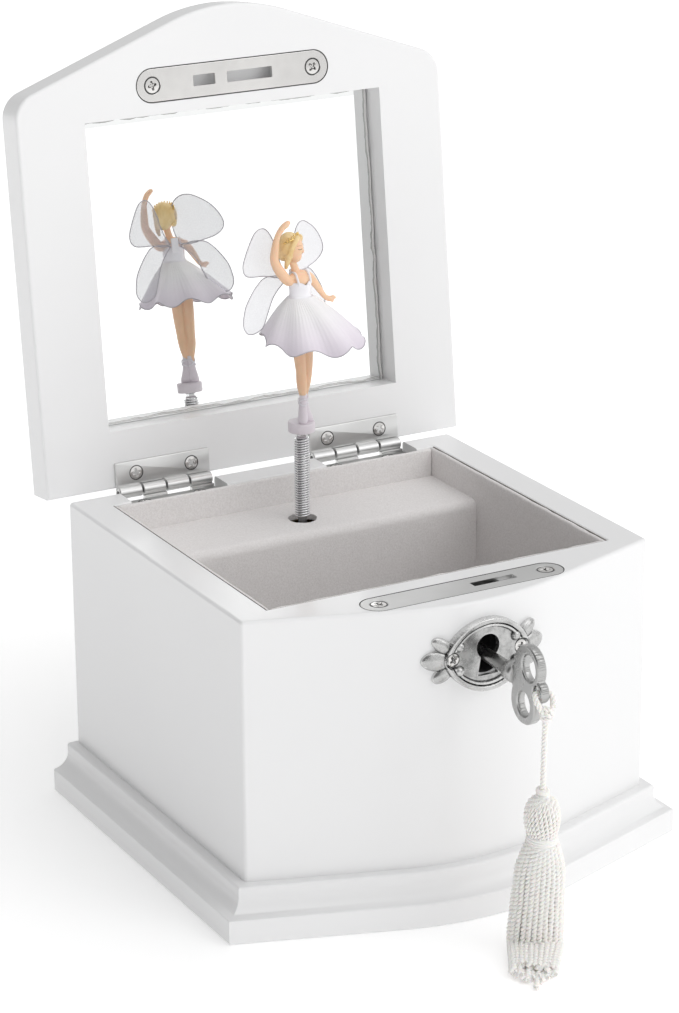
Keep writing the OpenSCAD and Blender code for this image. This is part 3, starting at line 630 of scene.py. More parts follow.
# near-black paint standing in for shade: screw recesses and rings round screw heads, the gaps round the
# plates, the hinge pins and the keyhole bore are painted shadow
shadow_line = plastic("painted_gap_shadow", "lock_steel", (0.03, 0.03, 0.03), (0.06, 0.06, 0.058))
EDGE = 1.1


def case_walls():
    """The lacquered walls as one shell: outside, rounded rim, and down inside to the lining."""
    outer = bowed_outline(HALF_W, CORNER, APEX, REAR, FLANK, 1.4)
    n = len(outer)
    inner_corners = [(-IN_X, IN_FRONT), (IN_X, IN_FRONT), (IN_X, IN_REAR), (-IN_X, IN_REAR)]

    def inner_point(p, d):
        """The nearest point of the inner rectangle, widened by d, to an outer point."""
        x = max(-IN_X - d, min(IN_X + d, p[0]))
        y = max(IN_FRONT - d, min(IN_REAR + d, p[1]))
        return x, y

    # the inner loop has as many points as the outer one, the corners exactly
    inner = [inner_point(p, 0) for p in outer]
    for corner in inner_corners:
        k = min(range(n), key=lambda i: (outer[i][0] - corner[0]) ** 2 + (outer[i][1] - corner[1]) ** 2)
        inner[k] = corner
    loops = []
    for k in range(5):
        a = pi / 2 * k / 4
        loops.append([(x, y, FOOT + 0.3 * (1 - sin(a))) for x, y in inset(outer, 0.3 * (1 - cos(a)))])
    loops = loops[::-1]
    loops.append([(x, y, RIM - EDGE) for x, y in outer])
    loops += [[(x, y, RIM - EDGE * (1 - sin(pi / 2 * k / 5)))
               for x, y in inset(outer, EDGE * (1 - cos(pi / 2 * k / 5)))]
              for k in range(1, 6)]

    def widened(d):
        return [(x + (d if x > 0 else -d if x < 0 else 0) * (abs(abs(x) - IN_X) < 1e-6),
                 y + (d if y > 0 else -d) * (abs(y - IN_REAR) < 1e-6 or abs(y - IN_FRONT) < 1e-6))
                for x, y in inner]

    soft = 0.7
    for k in range(5):
        a = pi / 2 * k / 4
        loops.append([(x, y, RIM - soft * (1 - cos(a))) for x, y in widened(soft * (1 - sin(a)))])
    loops.append([(x, y, FOOT) for x, y in inner])
    verts, faces = rings(loops, False)
    last = (len(loops) - 1) * n
    faces += [[i, (i + 1) % n, last + (i + 1) % n, last + i] for i in range(n)]
    shell = make("case_walls", Shape().add((verts, faces)), lacquer, "root",
                 ("left_side_panel", "right_side_panel", "front_panel", "rear_panel"), weld=0.001)
    pocket = Shape().add(slab(stadium(PLATE_HALF + 0.25, PLATE_R + 0.25, PLATE_Y), RIM - PLATE_T - 0.1,
                              RIM + 2))
    lock_hole = Shape().add(block(-8.4, 13.4, PLATE_Y - 4.6, PLATE_Y + 4.7, 71.6, RIM + 1))
    bore = Shape().add(lathe([(6.4, 0), (6.4, 12)], 40),
                       at=moved(LOCK_X, APEX - 2, KEY_Z + 0.6) @ turned(-90, "X"))
    mortises = []
    for side in (-1, 1):
        mid, half = side * (HINGE_X0 + HINGE_LEN / 2), HINGE_LEN / 2 + 0.3
        mortises.append(Shape().add(block(mid - half, mid + half, IN_REAR - 1, REAR + 2, MORTISE_Z, RIM + 1)))
    winder_hole = Shape().add(lathe([(3.2, 0), (3.2, 20)], 40), at=moved(0, 45, 29) @ turned(-90, "X"))
    cut(shell, pocket, lock_hole, bore, *mortises, winder_hole, sharp=32)
    return weighted(shell)


case_walls()

# bottom board and the felt under it keep their CAD meshes


def repaint(node, material):
    """Gives a CAD node that is shown as it is its finish."""
    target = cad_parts[node]
    for s in target.material_slots:
        s.material = material.mat
    if not target.material_slots:
        target.data.materials.append(material.mat)


base_felt = felt()
repaint("bottom_panel", board)
repaint("base_felt", base_felt)


def moulding():
    """One run of moulding around the left side, the bowed front and the right side, mitred at the corners."""
    outline = bowed_outline(HALF_W, CORNER, APEX, REAR, FLANK, 0, 60)
    path = [(-HALF_W, REAR)] + outline[:-2] + [(HALF_W, REAR)]
    cove, ledge, cove_z = 5.2, MOULDING_OUT - 5.2, MOULDING_H - 2.8
    profile = [(-0.3, 0.15), (MOULDING_OUT - 0.9, 0)]
    profile += arc(MOULDING_OUT - 0.9, 0.9, 0.9, -90, 0, 4)[1:]
    profile += [(MOULDING_OUT, cove_z - cove - 0.5)]
    profile += arc(MOULDING_OUT - 0.5, cove_z - cove - 0.5, 0.5, 0, 80, 4)[1:]
    profile += arc(MOULDING_OUT, cove_z, cove, 265, 185, 12)
    profile += arc(ledge + 0.1 - 0.9, MOULDING_H - 0.9, 0.9, 0, 90, 5)
    profile += [(-0.3, MOULDING_H)]
    n = len(path)
    loops = []
    for i in range(n):
        b = Vector(path[i])
        u = (b - Vector(path[i - 1])).normalized() if i else None
        v = (Vector(path[i + 1]) - b).normalized() if i < n - 1 else None
        u, v = u or v, v or u
        nu, nv = Vector((u.y, -u.x)), Vector((v.y, -v.x))
        m = (nu + nv) / max(0.3, 1 + nu.dot(nv))
        loops.append([(b.x + m.x * r, b.y + m.y * r, z) for r, z in profile])
    return make("base_moulding", Shape().add(rings(loops)), lacquer, "root",
                ("moulding_left", "moulding_right", "moulding_front"), sharp=28)


weighted(moulding())


# ---------------------------------------------------------------- lining


def ruffled(piece, depth, scale, seed=0):
    """Pushes the points of a soft piece about a little, so that no edge is ruled."""
    for v in piece.data.vertices:
        p = v.co / MM
        v.co += Vector(noise.noise_vector(p * scale + Vector((seed, 0, 0)))) * depth * MM
    piece.data.update()
    return piece


def grid_board(name, nodes, x0, x1, y0, y1, z0, z1, edge, cell=3.0, seed=0, depth=0.18):
    """A lining board as a fine rounded box with a soft, slightly uneven pile."""
    bm = bmesh.new()
    bmesh.ops.create_cube(bm, size=1)
    bmesh.ops.scale(bm, vec=(x1 - x0, y1 - y0, z1 - z0), verts=bm.verts)
    bmesh.ops.translate(bm, vec=((x0 + x1) / 2, (y0 + y1) / 2, (z0 + z1) / 2), verts=bm.verts)
    bmesh.ops.bevel(bm, geom=bm.edges[:], offset=edge, segments=3, profile=0.5, affect="EDGES",
                    clamp_overlap=True)
    for axis, lo, hi in ((0, x0, x1), (1, y0, y1), (2, z0, z1)):
        count = min(60, int((hi - lo) / cell))
        for i in range(1, count):
            at, way = [0, 0, 0], [0, 0, 0]
            at[axis], way[axis] = lo + (hi - lo) * i / count, 1
            bmesh.ops.bisect_plane(bm, geom=bm.verts[:] + bm.edges[:] + bm.faces[:], plane_co=at,
                                   plane_no=way)
    s = Shape()
    bm.verts.index_update()
    s.add(([tuple(v.co) for v in bm.verts], [[v.index for v in f.verts] for f in bm.faces]))
    bm.free()
    return ruffled(make(name, s, pile, "root", nodes, 50), depth, 0.5, seed)


lining_lo = 4.6
grid_board("velvet_left", "lining_left", -IN_X, -LINED_X, IN_FRONT, IN_REAR, lining_lo, LINING_TOP, 0.6,
           seed=1)
grid_board("velvet_right", "lining_right", LINED_X, IN_X, IN_FRONT, IN_REAR, lining_lo, LINING_TOP, 0.6,
           seed=2)
grid_board("velvet_front", "lining_front", -LINED_X, LINED_X, IN_FRONT, LINED_FRONT, lining_lo, LINING_TOP,
           0.6, seed=3)
grid_board("velvet_rear", "lining_rear", -LINED_X, LINED_X, LINED_REAR, IN_REAR, PLATFORM_Z - 2, LINING_TOP,
           0.6, seed=4)
grid_board("velvet_floor", "lining_floor", -LINED_X, LINED_X, LINED_FRONT, PLATFORM_Y, lining_lo, FLOOR_TOP,
           0.4, seed=5)


def platform():
    """The covered platform: one cloth over its top and down its front, with the ragged hole for the shaft."""
    fold, step = 3.0, 1.6
    corners = [(LINED_REAR, PLATFORM_Z), (PLATFORM_Y + fold, PLATFORM_Z)]
    corners += [(y, z) for y, z in arc(PLATFORM_Y + fold, PLATFORM_Z - fold, fold, 90, 180, 6)][1:]
    corners += [(PLATFORM_Y, lining_lo), (PLATFORM_Y + 2, lining_lo), (PLATFORM_Y + 2, PLATFORM_Z - fold)]
    corners += [(PLATFORM_Y + fold, PLATFORM_Z - 2), (LINED_REAR, PLATFORM_Z - 2)]
    outline = []
    for k, p in enumerate(corners):
        q = corners[(k + 1) % len(corners)]
        count = max(1, int(math.dist(p, q) / step))
        outline += [(p[0] + (q[0] - p[0]) * i / count, p[1] + (q[1] - p[1]) * i / count)
                    for i in range(count)]
    columns = 72
    loops = [[(LINED_X * (2 * i / columns - 1), y, z) for y, z in outline] for i in range(columns + 1)]
    top = make("velvet_platform", Shape().add(rings(loops)), pile, "root",
               ("platform_top", "platform_front"), 60)
    ruffled(top, 0.16, 0.5, 7)
    random.seed(11)
    ragged = []
    for i in range(64):
        a = 2 * pi * i / 64
        r = HOLE_R + 0.1 + 0.3 * noise.noise(Vector((2.2 * cos(a), 2.2 * sin(a), 3)))
        r += 0.12 * random.uniform(-1, 1)
        ragged.append((r * cos(a), SHAFT_Y + r * sin(a)))
    return cut(top, Shape().add(slab(ragged, PLATFORM_Z - 4, PLATFORM_Z + 2)), sharp=60)


platform()

# thin dark strips of painted shadow where the lining meets the lacquered walls
joint = Shape()
for x0, x1, y0, y1 in ((-IN_X, -IN_X + 0.3, IN_FRONT, IN_REAR), (IN_X - 0.3, IN_X, IN_FRONT, IN_REAR),
                       (-IN_X, IN_X, IN_FRONT, IN_FRONT + 0.3)):
    joint.add(block(x0, x1, y0, y1, LINING_TOP - 1, LINING_TOP + 0.12, 0.05, 1))
make("lining_joint_shadow", joint, plastic("joint_shadow", "velvet", (0.14, 0.12, 0.11), (0.2, 0.18, 0.17),
                                    (0.8, 0.9)), "root")


# ---------------------------------------------------------------- lid, drawn closed and swung open


def lid_half():
    w = LID_W / 2
    rise = LID_LEN - LID_CORNER_S
    r = bow_radius(w, rise, LID_FLANK)
    set_in = LID_CORNER_R * math.tan(rad((90 - LID_FLANK) / 2))
    return ([(w, LID_REAR)]
            + arc(w - LID_CORNER_R, LID_REAR - LID_CORNER_S + set_in, LID_CORNER_R, 0, LID_FLANK - 90, 12)
            + arc(0, LID_REAR - LID_LEN + r, r, LID_FLANK - 90, -90, 24))


def lid_outline():
    half = lid_half()
    # counterclockwise, from the left rear corner by way of the apex
    return [(-x, y) for x, y in half] + [(x, y) for x, y in half[-2::-1]]


def opened_piece(name, s, mats, nodes=(), sharp=40, body="lid", **more):
    t = Shape()
    t.v = [tuple(OPENED @ Vector(p)) for p in s.v]
    t.f, t.m = s.f, s.m
    return make(name, t, mats, body, nodes, sharp, **more)


def lid_board():
    body = Shape().add(slab(lid_outline(), LID_Z, LID_Z + LID_T, 1.0, 1.6, 5))
    x, y0, y1 = MIRROR_W / 2, LID_REAR - MIRROR_S1, LID_REAR - MIRROR_S0
    recess = Shape().add(block(-x, x, y0, y1, LID_Z - 1, LID_Z + MIRROR_POCKET))
    pocket = Shape().add(slab(stadium(PLATE_HALF + 0.25, PLATE_R + 0.25, PLATE_Y), LID_Z - 1,
                              LID_Z + PLATE_T + 0.1))
    slot = Shape().add(block(-16, 16, PLATE_Y - 2.2, PLATE_Y + 2.2, LID_Z - 1, LID_Z + 5))
    grooves = []
    for side in (-1, 1):
        mid, half = side * (HINGE_X0 + HINGE_LEN / 2), HINGE_LEN / 2 + 0.3
        grooves.append(Shape().add(lathe([(KNUCKLE_R + 0.2, -half), (KNUCKLE_R + 0.2, half)], 40),
                                   at=moved(mid, PIN_Y, PIN_Z) @ turned(90, "Y")))
    tools = []
    for t in (recess, pocket, slot, *grooves):
        o = Shape()
        o.v, o.f, o.m = [tuple(OPENED @ Vector(p)) for p in t.v], t.f, t.m
        tools.append(o)
    lid = opened_piece("lid_lacquered", body, lacquer, "lid_board", 32)
    cut(lid, *tools, sharp=32)
    return weighted(lid)


lid_board()

glass = mirror_silver()
bead = glue()
mx, my0, my1 = MIRROR_W / 2, LID_REAR - MIRROR_S1, LID_REAR - MIRROR_S0
GLASS_Z = LID_Z + MIRROR_POCKET - 1.6


def mirror_glass():
    # the silvered face looks down out of the recess, with a fine ground edge
    out = [(-mx + 0.05, my0 + 0.05), (mx - 0.05, my0 + 0.05), (mx - 0.05, my1 - 0.05),
           (-mx + 0.05, my1 - 0.05)]
    s = Shape().add(slab(out, GLASS_Z, LID_Z + MIRROR_POCKET - 0.02, 0.15, 0.0, 1))
    return opened_piece("mirror_plate", s, glass, "mirror_glass", 20)


mirror_glass()


def glue_bead():
    """The clear bead along the edge of the glass, laid by hand, so it is wavy."""
    s = Shape()
    random.seed(5)
    sides = [((-mx, my0), (mx, my0)), ((mx, my0), (mx, my1)), ((mx, my1), (-mx, my1)),
             ((-mx, my1), (-mx, my0))]
    for k, (a, b) in enumerate(sides):
        a, b = Vector((*a, GLASS_Z)), Vector((*b, GLASS_Z))
        way = (b - a).normalized()
        inward = Vector((-way.y, way.x, 0))
        count = int((b - a).length / 1.2)
        path, radii = [], []
        for i in range(count + 1):
            p = a + (b - a) * i / count
            wob = noise.noise(p * 0.16 + Vector((k * 9, 0, 0)))
            wob2 = noise.noise(p * 0.5 + Vector((0, k * 5, 2)))
            path.append(p + inward * (0.75 + 0.45 * wob + 0.18 * wob2) + Vector((0, 0, -0.15)))
            radii.append((0.62 + 0.22 * wob2 + 0.15 * wob) * (0.5 if k == 2 else 1))
        s.add(tube(path, radii, 10, flat=0.7))
    return opened_piece("mirror_glue_bead", s, bead, (), 60)


glue_bead()


# ---------------------------------------------------------------- plates and screws


def cross_screw(radius, dome, turn, depth=0.7, width=0.8, reach=0.66):
    """A low head with a cross recess, its rim at z = 0, and the kind of each face; kind 1, the recess and a
    ring round the head, is near-black painted shade.
    """
    n, rows = 64, 14
    loops, low = [], []
    for k in range(rows + 1):
        q = 1 - k / rows
        ring = []
        for i in range(n):
            a = 2 * pi * i / n
            r = radius * math.sqrt(q) if k < rows else 0.02
            lx, ly = abs(r * cos(a)), abs(r * sin(a))
            arm, far = min(lx, ly), max(lx, ly)
            half = width / 2 * (1 - 0.35 * far / (radius * reach))
            across = max(0.0, min(1.0, (half - arm) / 0.16 + 0.5))
            into = across * max(0.0, min(1.0, (radius * reach - far) / 0.25))
            # faces deep in the cross recess take the near-black painted shade
            low.append(into > 0.55)
            z = dome * (1 - (r / radius) ** 2) - depth * into * (1 - 0.5 * far / radius)
            ring.append((r * cos(a + rad(turn)), r * sin(a + rad(turn)), z))
        loops.append(ring)
    loops = [[(x * 0.93, y * 0.93, -0.45) for x, y, z in loops[0]]] + loops
    verts, faces = rings(loops, True)
    low = [False] * n + low
    kinds = [1 if sum(low[v] for v in f) * 2 > len(f) else 0 for f in faces]
    m = len(verts)
    # a flat ring round the head, in the near-black painted shade
    ring, extra = rings([[(r * cos(2 * pi * i / n), r * sin(2 * pi * i / n), z) for i in range(n)]
                         for r, z in ((radius * 0.985, 0.03), (radius + 0.3, 0.03), (radius + 0.3, -0.2))],
                         False)
    return (verts + ring, faces + [[v + m for v in f] for f in extra]), kinds + [1] * len(extra)


def screw_set(name, node, places, radius, dome, body, material, opened=False, **kw):
    s = Shape()
    for at, turn in places:
        part, kinds = cross_screw(radius, dome, turn, **kw)
        s.add(part, 0, at)
        s.m[-len(kinds):] = kinds
    mats = [material, shadow_line]
    return (opened_piece(name, s, mats, node, 38, body) if opened else make(name, s, mats, body, node, 38))


def plate_shadow_strip(name, z, body, opened=False):
    """A thin near-black strip of painted shadow in the gap between a plate and its pocket."""
    outline = stadium(PLATE_HALF + 0.12, PLATE_R + 0.12, PLATE_Y)
    s = Shape().add(tube([(x, y, z) for x, y in outline + outline[:2]], 0.14, 6, False))
    if opened:
        return opened_piece(name, s, shadow_line, (), 60, body)
    return make(name, s, shadow_line, body, (), 60)


def plate(name, node, z_face, up, slots, material, body, opened=False):
    """A plate with round ends, its face at z_face, with a fine worn edge and its slots."""
    z0, z1 = (z_face - PLATE_T, z_face + 0.02) if up else (z_face - 0.02, z_face + PLATE_T)
    s = Shape().add(slab(stadium(PLATE_HALF, PLATE_R, PLATE_Y, 0, 24), z0, z1,
                         0.0 if up else 0.28, 0.28 if up else 0.0, 3))
    tools = [Shape().add(slab(rounded(x0, x1, PLATE_Y - h, PLATE_Y + h, 0.35, 3), z0 - 1, z1 + 1))
             for x0, x1, h in slots]
    for side in (-1, 1):
        cone = [(2.9, 0.3), (2.9, 0), (1.2, -1.6)] if up else [(1.2, 1.6), (2.9, 0), (2.9, -0.3)]
        tools.append(Shape().add(lathe(cone[::-1], 40), at=moved(side * PLATE_SCREW_X, PLATE_Y, z_face)))
    if opened:
        for t in tools + [s]:
            t.v = [tuple(OPENED @ Vector(p)) for p in t.v]
    piece = make(name, s, material, body, node, 35)
    cut(piece, *tools, sharp=35)
    return weighted(piece)


plate("rim_plate", "lock_plate", RIM, True, [(3.05, 17.9, 1.5)], satin, "root")
plate("lid_plate", "strike_plate", LID_Z, False, [(-14.3, -6.5, 1.75), (-2.3, 13.9, 1.75)], bright, "lid",
      True)
plate_shadow_strip("rim_plate_shadow_strip", RIM - 0.06, "root")
plate_shadow_strip("lid_plate_shadow_strip", LID_Z + 0.06, "lid", True)
screw_set("rim_plate_screws", "lock_plate_screws",
          [(moved(s * PLATE_SCREW_X, PLATE_Y, RIM - 0.06), t) for s, t in ((-1, 24), (1, 67))], 2.3, 0.12,
          "root", bright)
screw_set("lid_plate_screws", "strike_plate_screws",
          [(moved(s * PLATE_SCREW_X, PLATE_Y, LID_Z + 0.08) @ turned(180, "X"), t)
           for s, t in ((-1, 12), (1, 50))],
          2.4, 0.14, "lid", bright, True)


def hinge_leaf(name, node, upper, material, body):
    s = Shape()
    for side in (-1, 1):
        x0 = side * (HINGE_X0 + HINGE_LEN / 2) - HINGE_LEN / 2
        z0 = LID_Z - 1 if upper else MORTISE_Z
        # the leaf's outer face has a bright bevel all round
        outline = rounded(x0, x0 + HINGE_LEN, LEAF_FRONT, PIN_Y - KNUCKLE_R - 0.1, 0.4, 3)
        s.add(slab(outline, z0, z0 + 1, 0.42 if upper else 0.0, 0.0 if upper else 0.42, 2))
        for i in ((0, 2) if upper else (1, 3)):
            k0, k1 = x0 + i * HINGE_LEN / 4 + 0.2, x0 + (i + 1) * HINGE_LEN / 4 - 0.2
            r = KNUCKLE_R
            s.add(lathe([(0.85, k0), (r - 0.25, k0), (r, k0 + 0.25), (r, k1 - 0.25), (r - 0.25, k1),
                         (0.85, k1)], 36, False),
                  at=moved(0, PIN_Y, PIN_Z) @ turned(90, "Y"))
            s.add(block(k0, k1, PIN_Y - r - 0.5, PIN_Y - 0.9, LID_Z - 1 if upper else MORTISE_Z,
                        LID_Z if upper else MORTISE_Z + 1.8, 0.12, 1))
    if upper:
        s.v = [tuple(OPENED @ Vector(p)) for p in s.v]
    return make(name, s, material, body, node, 32)


leaf_metal = metal("leaf_nickel", "bright_nickel", (0.62, 0.62, 0.615), (0.72, 0.72, 0.715), (0.28, 0.4),
                   (60, 900, 900), 0.01)
hinge_leaf("hinge_leaves_lid", "hinge_upper_leaves", True, leaf_metal, "lid")
hinge_leaf("hinge_leaves_case", "hinge_lower_leaves", False, leaf_metal, "root")
# the hinge pins are painted near-black as painted shade in the gaps between the knuckles
repaint("hinge_pins", shadow_line)
screw_set("lid_hinge_screws", "hinge_lid_screws",
          [(moved(s * x, HINGE_SCREW_Y, LID_Z - 1.0) @ turned(180, "X"), t)
           for s, x, t in ((-1, HINGE_SCREW_OUT, 8), (-1, HINGE_SCREW_IN, 40),
                           (1, HINGE_SCREW_IN, 20), (1, HINGE_SCREW_OUT, 62))], 2.15, 0.22, "lid", bright,
                           True)
screw_set("case_hinge_screws", "hinge_case_screws",
          [(moved(s * x, HINGE_SCREW_Y, MORTISE_Z + 1.05), 15 + 20 * k)
           for k, (s, x) in enumerate(((-1, HINGE_SCREW_OUT), (-1, HINGE_SCREW_IN),
                                       (1, HINGE_SCREW_IN), (1, HINGE_SCREW_OUT)))], 2.1, 0.22, "root",
                                       bright)


# ---------------------------------------------------------------- escutcheon and its screws

pewter_mat = pewter()


def bent_front(x, y):
    """How far behind the front's middle the bowed face lies at x, eased, as the cast plate follows it."""
    r = bow_radius(HALF_W, CORNER - APEX, FLANK)
    return y + r - math.sqrt(r * r - x * x)


def front_height(u, w):
    """How proud the cast plate stands at u across and w up from its centre, or None outside it."""
    a, b = 14.6, 11.3
    r = (a * a + b * b) / (2 * b)
    edge = max(math.hypot(u, w - (r - b)) - r, math.hypot(u, w - (b - r)) - r)
    h = None
    side = abs(u)
    # shells at the ends: a middle lobe and two beside it
    for cx, cy, long_r, wide_r, lean, rise in ((16.0, 0.0, 4.8, 3.1, 0, 1.9), (14.2, 4.3, 3.9, 2.2, 38, 1.7),
                                               (14.2, -4.3, 3.9, 2.2, -38, 1.7)):
        du, dw = side - cx, w - cy
        d = math.hypot((du * cos(rad(lean)) + dw * sin(rad(lean))) / long_r,
                       (dw * cos(rad(lean)) - du * sin(rad(lean))) / wide_r)
        if d < 1:
            lobe = 0.6 + rise * math.sqrt(1 - d * d)
            h = lobe if h is None else max(h, lobe)
    if edge < 0:
        t = -edge
        # an upright wall, a broad rim, a groove, a fine bead, and the flat face inside them
        base = 1.5 if t > 2.6 else 2.0
        if t < 1.6:
            base = 2.3 + 0.6 * math.sqrt(max(0.0, 1 - ((t - 0.75) / 0.85) ** 2))
        elif 1.75 < t < 2.75:
            base = 2.0 + 0.5 * math.sqrt(max(0.0, 1 - ((t - 2.25) / 0.5) ** 2))
        # round beads above and below each screw
        for wy in (-3.9, 3.9):
            d = math.hypot(side - 9.7, w - wy)
            if d < 1.55:
                base = max(base, 1.5 + 1.6 * math.sqrt(1 - (d / 1.55) ** 2))
        if math.hypot(side - 11.6, w) < 2.7:
            base = 1.5
        h = base if h is None else max(h, base)
    return h


def keyhole_outline(grow=0.0, steps=18):
    top = arc(0, 84.2 - OVAL_Z, 3.9 + grow, -50, 230, steps)
    return top + [(-2.9 - grow, 78.9 - OVAL_Z), (-3.5 - grow, 75.3 - OVAL_Z - grow),
                  (3.5 + grow, 75.3 - OVAL_Z - grow), (2.9 + grow, 78.9 - OVAL_Z)]


def escutcheon():
    cell = 0.17
    nx, nz = int(21.4 / cell), int(11.9 / cell)
    index, verts, faces = {}, [], []
    for i in range(-nx, nx + 1):
        for j in range(-nz, nz + 1):
            u, w = i * cell, j * cell
            h = front_height(u, w)
            if h is not None:
                index[i, j] = len(verts)
                verts.append((LOCK_X + u, bent_front(u, APEX) - h, OVAL_Z + w))
    for (i, j), k in index.items():
        quad = [(i, j), (i + 1, j), (i + 1, j + 1), (i, j + 1)]
        if all(q in index for q in quad):
            faces.append([index[q] for q in quad])
    bm = bmesh.new()
    vs = [bm.verts.new(v) for v in verts]
    for f in faces:
        bm.faces.new([vs[k] for k in f])
    loose = [v for v in bm.verts if not v.link_faces]
    bmesh.ops.delete(bm, geom=loose, context="VERTS")
    # the cut edge is eased along the outline, then the sheet is closed at the back
    for _ in range(6):
        rim = [v for v in bm.verts if any(e.is_boundary for e in v.link_edges)]
        spots = {}
        for v in rim:
            near = [e.other_vert(v).co for e in v.link_edges if e.is_boundary]
            if len(near) == 2:
                mid = (near[0] + near[1]) / 2
                spots[v] = Vector((v.co.x * 0.5 + mid.x * 0.5, v.co.y, v.co.z * 0.5 + mid.z * 0.5))
        for v, p in spots.items():
            v.co = p
    edges = [e for e in bm.edges if e.is_boundary]
    out = bmesh.ops.extrude_edge_only(bm, edges=edges)
    for v in [g for g in out["geom"] if isinstance(g, bmesh.types.BMVert)]:
        v.co.y = bent_front(v.co.x - LOCK_X, APEX) + 0.15
    bmesh.ops.holes_fill(bm, edges=[e for e in bm.edges if e.is_boundary], sides=0)
    bm.verts.index_update()
    s = Shape()
    s.add(([tuple(v.co) for v in bm.verts], [[v.index for v in f.verts] for f in bm.faces]))
    bm.free()
    piece = make("lock_escutcheon", s, pewter_mat, "root", "escutcheon", 60)
    hole = Shape().add(slab(keyhole_outline(), -4, 4), at=moved(LOCK_X, APEX, OVAL_Z) @ turned(90, "X"))
    cut(piece, hole, sharp=50)
    return piece


escutcheon()
screw_set("escutcheon_cross_screws", "escutcheon_screws",
          [(moved(LOCK_X + s * 11.6, bent_front(11.6, APEX) - 1.75, OVAL_Z) @ turned(90, "X"), t)
           for s, t in ((-1, 30), (1, 75))], 1.95, 0.4, "root", bright, width=0.75)
bore = [(6.3, -0.3), (6.3, -15.0), (0.0, -15.0)]
make("keyhole_shadow", Shape().add(lathe(bore, 40, False),
                                   at=moved(LOCK_X, APEX, KEY_Z + 0.6) @ turned(90, "X")), shadow_line,
     "root")
key_metal = metal("key_satin", "pewter", (0.42, 0.42, 0.415), (0.52, 0.52, 0.515), (0.22, 0.34))


# ---------------------------------------------------------------- key


def key():
    """A cast key: bow with two large eyes and a small one at its end, collar, shank, and bit."""
    z0 = KEY_Z

    def field(y, z):
        """Signed distance to the bow's outline, negative inside, in the plane of the bow."""
        y, z = y - BOW_END, z - z0

        def circle(cy, cz, r, up=1.0):
            return math.hypot(y - cy, (z - cz) / up) - r

        def blend(a, b, k):
            h = max(0.0, min(1.0, 0.5 + 0.5 * (b - a) / k))
            return b * (1 - h) + a * h - k * h * (1 - h)

        d = blend(circle(8.3, 5.0, 6.5), circle(10.2, -7.0, 6.4), 2.4)
        d = blend(d, max(abs(y - 10.2) - 5.4, abs(z + 0.6) - 4.6), 1.5)
        d = blend(d, circle(3.4, -1.2, 3.4), 0.5)
        d = blend(d, max(abs(y - 15.6) - 2.2, abs(z) - 2.8), 1.4)
        for cy, cz, r, up in ((7.3, 4.9, 3.55, 1.12), (9.9, -7.1, 3.35, 1.12), (3, -1.2, 2.05, 1.0)):
            d = max(d, r - math.hypot(y - cy, (z - cz) / up))
        return d

    cell, half, soft = 0.2, BOW_T / 2, 0.6
    ys = [BOW_END - 1 + cell * i for i in range(int(20 / cell))]
    zs = [z0 - 13 + cell * j for j in range(int(26 / cell))]
    inside = {}
    for i, y in enumerate(ys):
        for j, z in enumerate(zs):
            inside[i, j] = field(y, z)
    verts, faces, got = [], [], {}

    def corner(i, j):
        if (i, j) not in got:
            got[i, j] = len(verts)
            y, z = ys[i], zs[j]
            # slide a point near the outline onto it
            d = inside[i, j]
            if d > -0.6 * cell:
                e = 0.05
                gy = (field(y + e, z) - field(y - e, z)) / (2 * e)
                gz = (field(y, z + e) - field(y, z - e)) / (2 * e)
                g = max(1e-6, gy * gy + gz * gz)
                y, z = y - gy * d / g, z - gz * d / g
                d = 0.0
            h = half - soft + soft * math.sqrt(max(0.0, 1 - (max(0.0, 1 + d / soft)) ** 2))
            verts.append((h, y, z))
        return got[i, j]

    for i in range(len(ys) - 1):
        for j in range(len(zs) - 1):
            quad = [(i, j), (i + 1, j), (i + 1, j + 1), (i, j + 1)]
            if all(inside[q] < 0.45 * cell for q in quad):
                faces.append([corner(*q) for q in quad])
    n = len(verts)
    verts += [(-x, y, z) for x, y, z in verts]
    faces += [[k + n for k in f[::-1]] for f in faces]
    bm = bmesh.new()
    vs = [bm.verts.new((LOCK_X + x, y, z)) for x, y, z in verts]
    for f in faces:
        bm.faces.new([vs[k] for k in f])
    upper = {k: vs[k + n] for k in range(n)}
    bm.verts.index_update()
    for e in [e for e in bm.edges if e.is_boundary and e.verts[0].index < n]:
        a, b = e.verts
        bm.faces.new([a, b, upper[b.index], upper[a.index]])
    s = Shape()
    s.add(([tuple(v.co) for v in bm.verts], [[v.index for v in f.verts] for f in bm.faces]))
    bm.free()
    y1 = cad("lock_key")[1][1]
    turned_y = moved(LOCK_X, 0, z0) @ turned(-90, "X")
    # shank with its collar, from the bow to the pipe end
    c = BOW_END + 20.2
    profile = [(0.0, c - 4.8), (2.3, c - 4.7), (2.9, c - 4.3), (3.15, c - 3.8), (3.2, c - 1.0),
               (2.95, c - 0.4), (2.4, c - 0.1),
               (2.1, c + 0.3), (2.05, c + 1.0), (2.05, y1 - 0.3), (1.8, y1), (0.95, y1), (0.95, y1 - 3.0),
               (0.0, y1 - 3.1)]
    s.add(lathe(profile, 40, False), at=turned_y)
    s.add(block(LOCK_X - 0.95, LOCK_X + 0.95, PLATE_Y - 2, PLATE_Y + 2.2, z0 - 5.6, z0 - 1.6, 0.2, 2))
    return make("cast_key", s, key_metal, "key", "lock_key", 50)


key()


# ---------------------------------------------------------------- tassel


